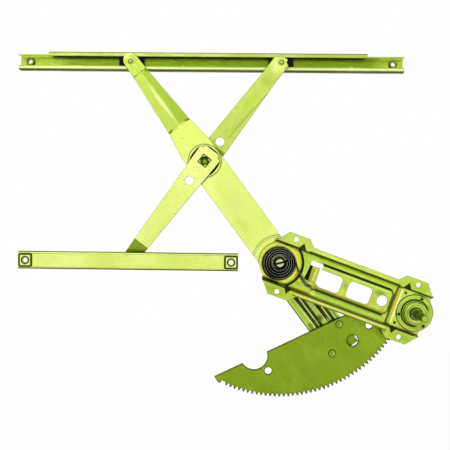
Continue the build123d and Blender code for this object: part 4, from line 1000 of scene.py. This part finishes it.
    # Its slope and steep colours paint the beads' sides and the walls dark, painted shade.
    PLATE = PassivatedSteel(
        slot="golden_passivated_steel", body="B6D24C", bright="CEE86C", shade="7C9420",
        cloud="C4C83C", cloud_share=0.35, slope="30440A", slope_from=0.97, slope_to=0.72,
        steep="202C02", steep_from=0.6, steep_to=0.4, pit_share=0.1,
        grain_angle=ALONG_PLATE.angle, streak_share=0.08, streak_height=0.04, metallic=0.9,
        tints=PLATE_TONES_AND_SHEEN, lines=PLATE_TONE_AND_LIGHT_LINES,
        over=(
            plate_tone_and_light_line(112, -27.9, (58, 2.0), "AEC258", 0.85),
            plate_tone_and_light_line(112, 27.7, (58, 1.7), "90A21E", 0.75),
            plate_tone_and_light_line(112, -16.2, (54, 1.2), "A8A030", 0.7),
        ),
    )
    # Its wall colours are lighter than the body, painted light on the cup's walls.
    DRUM = PassivatedSteel(
        slot="golden_passivated_steel", body="A8CC3C", bright="BCDC54", shade="6C8818",
        cloud="9CC034", slope="B8D450", slope_from=0.97, slope_to=0.72, steep="D0E870",
        corner_reach=2.0, corner_share=0.2, metallic=0.9, roughness=0.33,
        # Painted shade: darker towards the bottom and the right of the pad.
        tints=(
            Mark(step(CRANK, -80, 20), (20, 9), "6E6C1E", 0.6, ALONG_PLATE.angle, soft=0.9),
            Mark(step(CRANK, 10, 20), (8, 18), "8CA42C", 0.7, ALONG_PLATE.angle, soft=0.9),
        ),
        # A dark ring at the flange's edge and a black one round the cup's base paint shade; the
        # pale ring, the lighter patches and the boss's lit face paint light; dark rings round the
        # boss and the spindle paint shade.
        lines=(
            disc(CRANK, 26.0, "5A7414", 0.8, rim=0.8),
            disc(CRANK, 24.6, "D0E070", 0.6, rim=0.8),
            disc(CRANK, 19.2, "0E1204", rim=1.5, soft=0.5),
            disc(step(CRANK, -35, 17), 18, "A8C048", soft=0.4),
            Mark(step(CRANK, 180, 13), (6, 13), "B0C854", 0.8, soft=0.7),
            disc(step(CRANK, -110, 4), 12, "C6DC68", 0.9, soft=0.6),
            disc(CRANK, 13.6, "5C7010", 0.6, rim=0.8),
            disc(step(CRANK, 150, 1.0), 8.4, "262E08", 0.9, rim=1.5),
        ),
    )
    SPINDLE = replace(
        DRUM,
        body="A4C044", bright="B8D45C", slope="6C8420", steep="566C14", rim_share=0.6,
        rim_reach=1.5,
        tints=(),
        lines=(disc(CRANK, 6.5, "2E380C", 0.8, soft=0.5, deeper_than=-12.0),),
    )
    STUD = PassivatedSteel(
        slot="bare_steel", body="C8D09A", bright="E8ECC8", shade="70784C", cloud="B4C080",
        slope="70784C", steep="3C4424", roughness=0.30,
    )
    PIVOT_WASHER = PassivatedSteel(
        slot="bare_steel", body="3A4228", bright="4A5234", shade="1E2410", cloud="2C341C",
        steep="15180C",
        lines=(
            disc(PIVOT, 9.9, "C4CC9C", 0.9, rim=0.6),
            Mark(step(PIVOT, -70, 8), (11, 9), "14180C", 0.9, soft=0.3),
        ),
    )
    RIVET_EYE = replace(
        DRUM,
        lines=tuple(
            disc(rivet, radius, colour, share, soft=0.3)
            for rivet in HOUSING_RIVETS
            for radius, colour, share in ((3.2, "B8C860", 0.9), (2.5, "1A1E04", 1.0))
        ),
    )
    SECTOR_RIVET = replace(
        SECTOR,
        body="A0B648", bright="BCCC6C", shade="6C7C28", cloud="8CA438", steep="2C3A04",
        steep_from=0.97, rim_share=0.4, rim_reach=1.2,
        # A pale crescent on each head, a painted highlight.
        lines=tuple(
            Mark(ALONG_ARM.at(along - 1.0, aside - 1.2), (1.5, 2.0), "E8F2B0", 0.9, soft=0.8)
            for along, aside in SECTOR_RIVETS
        ),
    )
    # The grey crest colour is a painted highlight on the coil's turns.
    SPRING = DarkSurface(
        "blackened_spring_steel", "020203", "08090B", 0.4, 0.5, 0.10, SPRING_GRAIN, "B4BEA0"
    )
    NYLON = DarkSurface("black_nylon", "050505", "1A1A1A", 0.0, 0.6, 0.12, NYLON_GRAIN)


class FinishRack:
    """Keeps one built material for each finish."""

    def __init__(self) -> None:
        """Start with no material built."""
        self.built: dict[Finish, bpy.types.Material] = {}

    def dress(self, piece: Piece, finish: Finish) -> None:
        """Give a piece its finish in every material slot.

        Args:
            piece: a mesh piece.
            finish: the finish to show.
        """
        if finish not in self.built:
            self.built[finish] = finish.value.material()
        material = self.built[finish]
        if not piece.material_slots:
            piece.data.materials.append(material)
        for slot in piece.material_slots:
            slot.material = material


def swept(path: list[Point], section: tuple[Point, ...], closed: bool) -> Shape:
    """Carry a section along a path that lies in the door panel's plane.

    Args:
        path: the places it passes, in millimetres.
        section: distances aside and depths of its corners, in millimetres.
        closed: whether the path's end joins its start.

    Returns:
        The shape, in metres.
    """
    shape = bmesh.new()
    loops = []
    for number, place in enumerate(path):
        before = path[number - 1] if closed or number else place
        after = path[(number + 1) % len(path)] if closed or number + 1 < len(path) else place
        run = heading(before, after)
        corners = (
            (place[0] - run.y * aside, depth, place[1] + run.x * aside) for aside, depth in section
        )
        loops.append([shape.verts.new([part * MM for part in corner]) for corner in corners])
    followers = loops[1:] + loops[:1] if closed else loops[1:]
    for near, far in zip(loops, followers):
        for corner in range(len(section)):
            shape.faces.new((near[corner - 1], near[corner], far[corner], far[corner - 1]))
    if not closed:
        shape.faces.new(loops[0])
        shape.faces.new(loops[-1])
    return shape


@dataclass
class Workshop:
    """Dresses the CAD pieces, and turns mesh shapes into finished pieces that ride on a body."""

    rack: FinishRack
    weld_gap: float = 0.002
    edge_segments: int = 2
    edge_angle: float = 28.0

    def dress(self, node: str, finish: Finish, edge: float) -> None:
        """Give a CAD piece its finish and softly broken edges.

        Args:
            node: the piece's CAD node.
            finish: what it is dressed in.
            edge: the width of its broken edges in millimetres, 0 to leave them as they are.
        """
        piece = frame["nodes"][node]
        self.rack.dress(piece, finish)
        if edge:
            weld = piece.modifiers.new("joined_faces", "WELD")
            weld.merge_threshold = self.weld_gap * MM
            bevel = piece.modifiers.new("broken_edges", "BEVEL")
            bevel.width = edge * MM
            bevel.segments = self.edge_segments
            bevel.limit_method = "ANGLE"
            bevel.angle_limit = math.radians(self.edge_angle)
            bevel.use_clamp_overlap = True
            bevel.harden_normals = True
        log.info("dressed %s as %s", node, finish.name)

    def fit(self, name: str, shape: Shape, finish: Finish, body: str) -> Piece:
        """Make a piece of a shape, dress it and mount it.

        Args:
            name: the piece's name.
            shape: its mesh, used up here.
            finish: what it is dressed in.
            body: the CAD body it rides on.

        Returns:
            The piece.
        """
        bmesh.ops.recalc_face_normals(shape, faces=shape.faces)
        mesh = bpy.data.meshes.new(name)
        shape.to_mesh(mesh)
        shape.free()
        for face in mesh.polygons:
            face.use_smooth = True
        piece = bpy.data.objects.new(name, mesh)
        bpy.context.scene.collection.objects.link(piece)
        self.rack.dress(piece, finish)
        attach(piece, body)
        log.info("built %s on %s", name, body)
        return piece


@dataclass
class RivetingRing:
    """A small raised ring that the riveting tool leaves on the flat face of a head."""

    shop: Workshop
    node: str
    finish: Finish
    body: str
    radius: float
    half_width: float = 0.55
    height: float = 0.35
    sunk: float = 0.1
    shoulder_place: float = 0.5
    shoulder_height: float = 0.8
    sides: int = 40

    def section(self) -> tuple[Point, ...]:
        """Give the ring's rounded section, standing on the node's front face.

        Returns:
            Distances aside and depths, in millimetres.
        """
        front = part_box(self.node)[0].y / MM
        foot = front + self.sunk
        shoulder = front - self.shoulder_height * self.height
        aside = self.shoulder_place * self.half_width
        return (
            (-self.half_width, foot),
            (self.half_width, foot),
            (self.half_width, front),
            (aside, shoulder),
            (0, front - self.height),
            (-aside, shoulder),
            (-self.half_width, front),
        )

    def build(self, name: str, place: Point) -> None:
        """Raise the ring at a place on the head's face."""
        circle = [step(place, 360 * side / self.sides, self.radius) for side in range(self.sides)]
        self.shop.fit(name, swept(circle, self.section(), True), self.finish, self.body)


@dataclass
class GlassRail:
    """The lipped channel that carries the glass, with the nuts of its two end holes."""

    shop: Workshop
    rail_edge: float = 0.0
    nut_edge: float = 0.25

    def build(self) -> None:
        """Dress the rail and its nuts; the rail's thin lips keep the edges they have."""
        self.shop.dress("glass_rail", Finish.RAIL, self.rail_edge)
        self.shop.dress("glass_rail_nuts", Finish.RAIL_NUT, self.nut_edge)


@dataclass
class GuideChannel:
    """The channel on the door panel that guides the equalizer's foot, with its square nuts."""

    shop: Workshop
    channel_edge: float = 0.25
    nut_edge: float = 0.35

    def build(self) -> None:
        """Dress the channel and its nuts."""
        self.shop.dress("guide_channel", Finish.CHANNEL, self.channel_edge)
        self.shop.dress("guide_channel_nuts", Finish.CHANNEL_NUT, self.nut_edge)


@dataclass
class LiftArm:
    """The long arm with the stud of its slide, its toothed sector and that one's rivets."""

    shop: Workshop
    arm_edge: float = 0.5
    stud_edge: float = 0.3
    tooth_edge: float = 0.15
    rivet_edge: float = 0.5
    stud_ring: float = 2.5
    rivet_ring: float = 1.7

    def build(self) -> None:
        """Dress the arm's pieces and raise the rings on its stud and rivets."""
        self.shop.dress("lift_arm", Finish.ARM, self.arm_edge)
        self.shop.dress("rear_stud", Finish.STUD_HEAD, self.stud_edge)
        self.shop.dress("sector_gear", Finish.SECTOR, self.tooth_edge)
        self.shop.dress("sector_rivets", Finish.SECTOR_RIVET, self.rivet_edge)
        head = RivetingRing(self.shop, "rear_stud", Finish.STUD_HEAD, "lift_arm", self.stud_ring)
        head.build("rear_stud_ring", stud_eye(Place.ARM_TOP))
        rivet = RivetingRing(
            self.shop, "sector_rivets", Finish.SECTOR_RIVET, "lift_arm", self.rivet_ring
        )
        for number, place in enumerate(SECTOR_RIVETS):
            rivet.build(f"sector_rivet_ring_{number + 1}", ALONG_ARM.at(*place))


@dataclass
class EqualizerArm:
    """The crossing arm in its two halves, with the studs of its slides and the square key."""

    shop: Workshop
    arm_edge: float = 0.5
    stud_edge: float = 0.3
    key_edge: float = 0.4
    washer_edge: float = 0.2
    stud_ring: float = 2.5

    def build(self) -> None:
        """Dress the halves, studs and cross pivot, and raise the ring on the front stud."""
        self.shop.dress("front_stud", Finish.STUD_HEAD, self.stud_edge)
        self.shop.dress("lower_stud", Finish.STUD_HEAD, self.stud_edge)
        self.shop.dress("equalizer_arm_lower", Finish.EQUALIZER, self.arm_edge)
        self.shop.dress("equalizer_arm_upper", Finish.UPPER_HALF, self.arm_edge)
        self.shop.dress("cross_pivot_key", Finish.KEY, self.key_edge)
        self.shop.dress("cross_pivot_washer", Finish.WASHER, self.washer_edge)
        self.shop.dress("cross_pivot_spacer", Finish.EQUALIZER, self.washer_edge)
        head = RivetingRing(self.shop, "front_stud", Finish.STUD_HEAD, "equalizer", self.stud_ring)
        head.build("front_stud_ring", stud_eye(Place.EQUALIZER_TOP))


@dataclass
class CrankDrum:
    """The back plate with the crank's drum, its spindle and pinion, and the spring inside."""

    shop: Workshop
    plate_edge: float = 0.6
    drum_edge: float = 0.3
    rivet_edge: float = 0.25
    tooth_edge: float = 0.15
    washer_edge: float = 0.2
    spring_edge: float = 0.1

    def build(self) -> None:
        """Dress the plate and all that the drum holds."""
        self.shop.dress("pinion", Finish.SECTOR, self.tooth_edge)
        self.shop.dress("pinion_washer", Finish.SECTOR, self.washer_edge)
        self.shop.dress("back_plate", Finish.PLATE, self.plate_edge)
        self.shop.dress("clutch_housing", Finish.DRUM, self.drum_edge)
        self.shop.dress("housing_rivets", Finish.RIVET_EYE, self.rivet_edge)
        self.shop.dress("spindle_bushing", Finish.DRUM, self.drum_edge)
        self.shop.dress("spindle", Finish.SPINDLE, self.tooth_edge)
        self.shop.dress("brake_spring", Finish.SPRING, self.spring_edge)


@dataclass
class Slides:
    """The three nylon slides that run in the rail and the channel."""

    shop: Workshop
    edge: float = 0.5

    def build(self) -> None:
        """Dress the slides."""
        for node in ("rear_slide", "front_slide", "lower_slide"):
            self.shop.dress(node, Finish.NYLON, self.edge)


@dataclass
class MainPivot:
    """The main pivot's stud and washer, and the flat spiral spring with its tang in the stud."""

    shop: Workshop
    stud_edge: float = 0.3
    washer_edge: float = 0.2
    spring_edge: float = 0.3
    strip: float = 2.2
    front: float = 2.1
    back: float = 8.3
    crown: float = 0.45
    crest_share: float = 0.45
    shoulder_share: float = 0.75
    inner_radius: float = 10.4
    outer_radius: float = 23.9
    start_angle: float = 14.0
    sweep: float = 1445.8
    steps_a_turn: int = 60
    tail: tuple[Point, ...] = ((31.0, -2.8), (46.6, -16.4), (54.6, -16.6))
    tail_lean: float = 17.0
    tail_handle: float = 3.0
    tail_points: int = 12
    tang_reach: float = 9.2
    tang_steps: int = 6
    tang_sunk: float = 3.0

    def section(self) -> tuple[Point, ...]:
        """Give the strip's section, with a crowned front edge.

        Returns:
            Distances aside and depths, in millimetres.
        """
        half = self.strip / 2
        shoulder = self.front + self.crown
        return (
            (-half, self.back),
            (half, self.back),
            (half, shoulder + self.crown),
            (self.shoulder_share * half, shoulder),
            (self.crest_share * half, self.front),
            (-self.crest_share * half, self.front),
            (-self.shoulder_share * half, shoulder),
            (-half, shoulder + self.crown),
        )

    def coil_line(self) -> list[Point]:
        """Give the coil's line: it grows evenly and drifts off the stud's middle.

        Returns:
            Its points, from the stud outwards.
        """
        count = round(self.sweep / 360 * self.steps_a_turn)
        line = []
        for number in range(count + 1):
            share = number / count
            radius = self.inner_radius + share * (self.outer_radius - self.inner_radius)
            middle = step(PIVOT, COIL_DRIFT_ANGLE, share * COIL_DRIFT)
            line.append(step(middle, self.start_angle - share * self.sweep, radius))
        return line

    def tail_line(self, last: Point, start: Point) -> list[Point]:
        """Give the tail's line, from the coil to under the plate's tab.

        Args:
            last: the coil's last point but one.
            start: where the coil ends.

        Returns:
            The points after the start.
        """
        places = [start, *(ALONG_PLATE.at(*place) for place in self.tail)]
        runs = [heading(last, start)]
        runs += [heading(before, after) for before, after in zip(places, places[2:])]
        runs.append(Vector(step((0, 0), ALONG_PLATE.angle + self.tail_lean, 1)))
        knots = [Vector(place) for place in places]
        line = []
        for near, far, near_run, far_run in zip(knots, knots[1:], runs, runs[1:]):
            handle = (far - near).length / self.tail_handle
            handles = (near + near_run * handle, far - far_run * handle)
            curve = interpolate_bezier(near, *handles, far, self.tail_points)
            line.extend((point[0], point[1]) for point in curve[1:])
        return line

    def build(self) -> None:
        """Dress the stud and washer, and build the coil on the plate and its tang on the arm."""
        self.shop.dress("pivot_stud", Finish.STUD, self.stud_edge)
        self.shop.dress("pivot_washer", Finish.PIVOT_WASHER, self.washer_edge)
        self.shop.dress("counterbalance_spring", Finish.SPRING, self.spring_edge)
        line = self.coil_line()
        line += self.tail_line(*line[-2:])
        coil = self.shop.fit(
            "spring_coil", swept(line, self.section(), False), Finish.SPRING, "back_plate"
        )
        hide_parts("counterbalance_spring")
        tang = [
            step(PIVOT, self.start_angle, share * self.tang_reach / self.tang_steps)
            for share in range(-self.tang_steps, self.tang_steps + 1)
        ]
        sunk = self.front + self.tang_sunk
        section = tuple((aside, max(depth, sunk)) for aside, depth in self.section()[:4])
        self.shop.fit("spring_tang", swept(tang, section, False), Finish.SPRING, "lift_arm")


@dataclass(frozen=True)
class Lamp:
    """A soft square lamp: its place and side in metres, its power in watts, and what it lights."""

    name: str
    place: Spot
    side: float
    power: float
    target: Spot = (-0.15, 0.0, 0.1)

    def hang(self) -> None:
        """Hang the lamp and point it at its target."""
        light = bpy.data.lights.new(self.name, "AREA")
        light.size = self.side
        light.energy = self.power
        lamp = bpy.data.objects.new(self.name, light)
        lamp.location = self.place
        aim = Vector(self.target) - Vector(self.place)
        lamp.rotation_euler = aim.to_track_quat("-Z", "Y").to_euler()
        bpy.context.scene.collection.objects.link(lamp)


@dataclass
class Studio:
    """Plain pale floor, soft light, and the camera where the photograph was taken.

    The camera's place, the floor's level and its size are in millimetres, its angles in degrees.
    The floor's fade runs from a distance to another one in metres, and between two shares.
    """

    camera_place: Spot = (-166.2, -818.1, 109.9)
    pitch: float = 1.49
    yaw: float = -0.72
    roll: float = -0.64
    focal_pixels: float = 572.2
    image_pixels: float = 450.0
    sensor: float = 36.0
    clip: Point = (0.01, 50.0)
    floor_level: float = -195.0
    floor_size: float = 6000.0
    floor_fade: tuple[float, float, float, float] = (0.25, 0.9, 0.96, 1.0)
    floor_colour: Colour = (0.86, 0.86, 0.86, 1.0)
    white: Colour = (1.0, 1.0, 1.0, 1.0)
    soft_light: float = 0.8
    lamps: tuple[Lamp, ...] = (
        Lamp("key_lamp", (-0.9, -1.5, 1.2), 1.6, 7.0),
        Lamp("fill_lamp", (0.9, -1.4, 0.3), 1.6, 4.0),
    )

    def camera(self) -> None:
        """Place the camera and make it the scene's."""
        down, right, turn = (math.radians(a) for a in (self.pitch, self.yaw, self.roll))
        forward = Vector(
            (math.sin(right) * math.cos(down), math.cos(right) * math.cos(down), -math.sin(down))
        )
        side = Vector((math.cos(right), -math.sin(right), 0))
        up = side.cross(forward)
        level = side * math.cos(turn) - up * math.sin(turn)
        tall = side * math.sin(turn) + up * math.cos(turn)
        lens = bpy.data.cameras.new("camera")
        lens.sensor_width = self.sensor
        lens.lens = self.focal_pixels / self.image_pixels * self.sensor
        lens.clip_start, lens.clip_end = self.clip
        camera = bpy.data.objects.new("camera", lens)
        turned = Matrix((level, tall, -forward)).transposed().to_4x4()
        camera.matrix_world = Matrix.Translation(Vector(self.camera_place) * MM) @ turned
        bpy.context.scene.collection.objects.link(camera)
        bpy.context.scene.camera = camera
        log.info("placed the camera")

    def world(self) -> None:
        """Surround the scene with plain white that is seen directly and in metal alike."""
        world = bpy.data.worlds.new("studio")
        bpy.context.scene.world = world
        bench = NodeBench(world)
        seen = bench.add("ShaderNodeBackground", Color=self.white, Strength=1.0)
        soft = bench.add("ShaderNodeBackground", Color=self.white, Strength=self.soft_light)
        bench.send(bench.mixed(bench.seen(), soft, seen), "ShaderNodeOutputWorld")

    def floor_material(self) -> bpy.types.Material:
        """Build the floor's matte: it keeps the soft shadow, and fades to white when seen.

        Returns:
            The material.
        """
        made = bpy.data.materials.new("pale_floor")
        bench = NodeBench(made)
        matte = bench.add("ShaderNodeBsdfDiffuse", Color=self.floor_colour)
        white = bench.add("ShaderNodeEmission", Color=self.white, Strength=1.0)
        near, far, low, high = self.floor_fade
        whiter = bench.spread(
            bench.size_of(bench.place()),
            interpolation_type="SMOOTHSTEP",
            From_Min=near,
            From_Max=far,
            To_Min=low,
            To_Max=high,
        )
        share = bench.compute("MULTIPLY", bench.seen(), whiter)
        bench.send(bench.mixed(share, matte, white), "ShaderNodeOutputMaterial")
        return made

    def floor(self) -> None:
        """Lay the floor just under the rail's lowest place."""
        half = self.floor_size / 2 * MM
        corners = [(-half, -half, 0), (half, -half, 0), (half, half, 0), (-half, half, 0)]
        mesh = bpy.data.meshes.new("floor")
        mesh.from_pydata(corners, [], [(0, 1, 2, 3)])
        mesh.materials.append(self.floor_material())
        floor = bpy.data.objects.new("floor", mesh)
        floor.location = (0, 0, self.floor_level * MM)
        bpy.context.scene.collection.objects.link(floor)

    def build(self) -> None:
        """Set up the camera, the light and the floor."""
        self.camera()
        self.world()
        self.floor()
        for lamp in self.lamps:
            lamp.hang()
        bpy.context.scene.view_settings.view_transform = "Standard"
        log.info("built the studio")


def main() -> None:
    """Build the studio and every sub-assembly, in order."""
    logging.basicConfig(level=logging.INFO, format="%(message)s")
    Studio().build()
    shop = Workshop(FinishRack())
    for kind in (GlassRail, GuideChannel, LiftArm, EqualizerArm, CrankDrum, MainPivot, Slides):
        kind(shop).build()
        log.info("finished %s", kind.__name__)
    bpy.context.view_layer.update()


if __name__ == "__main__":
    main()
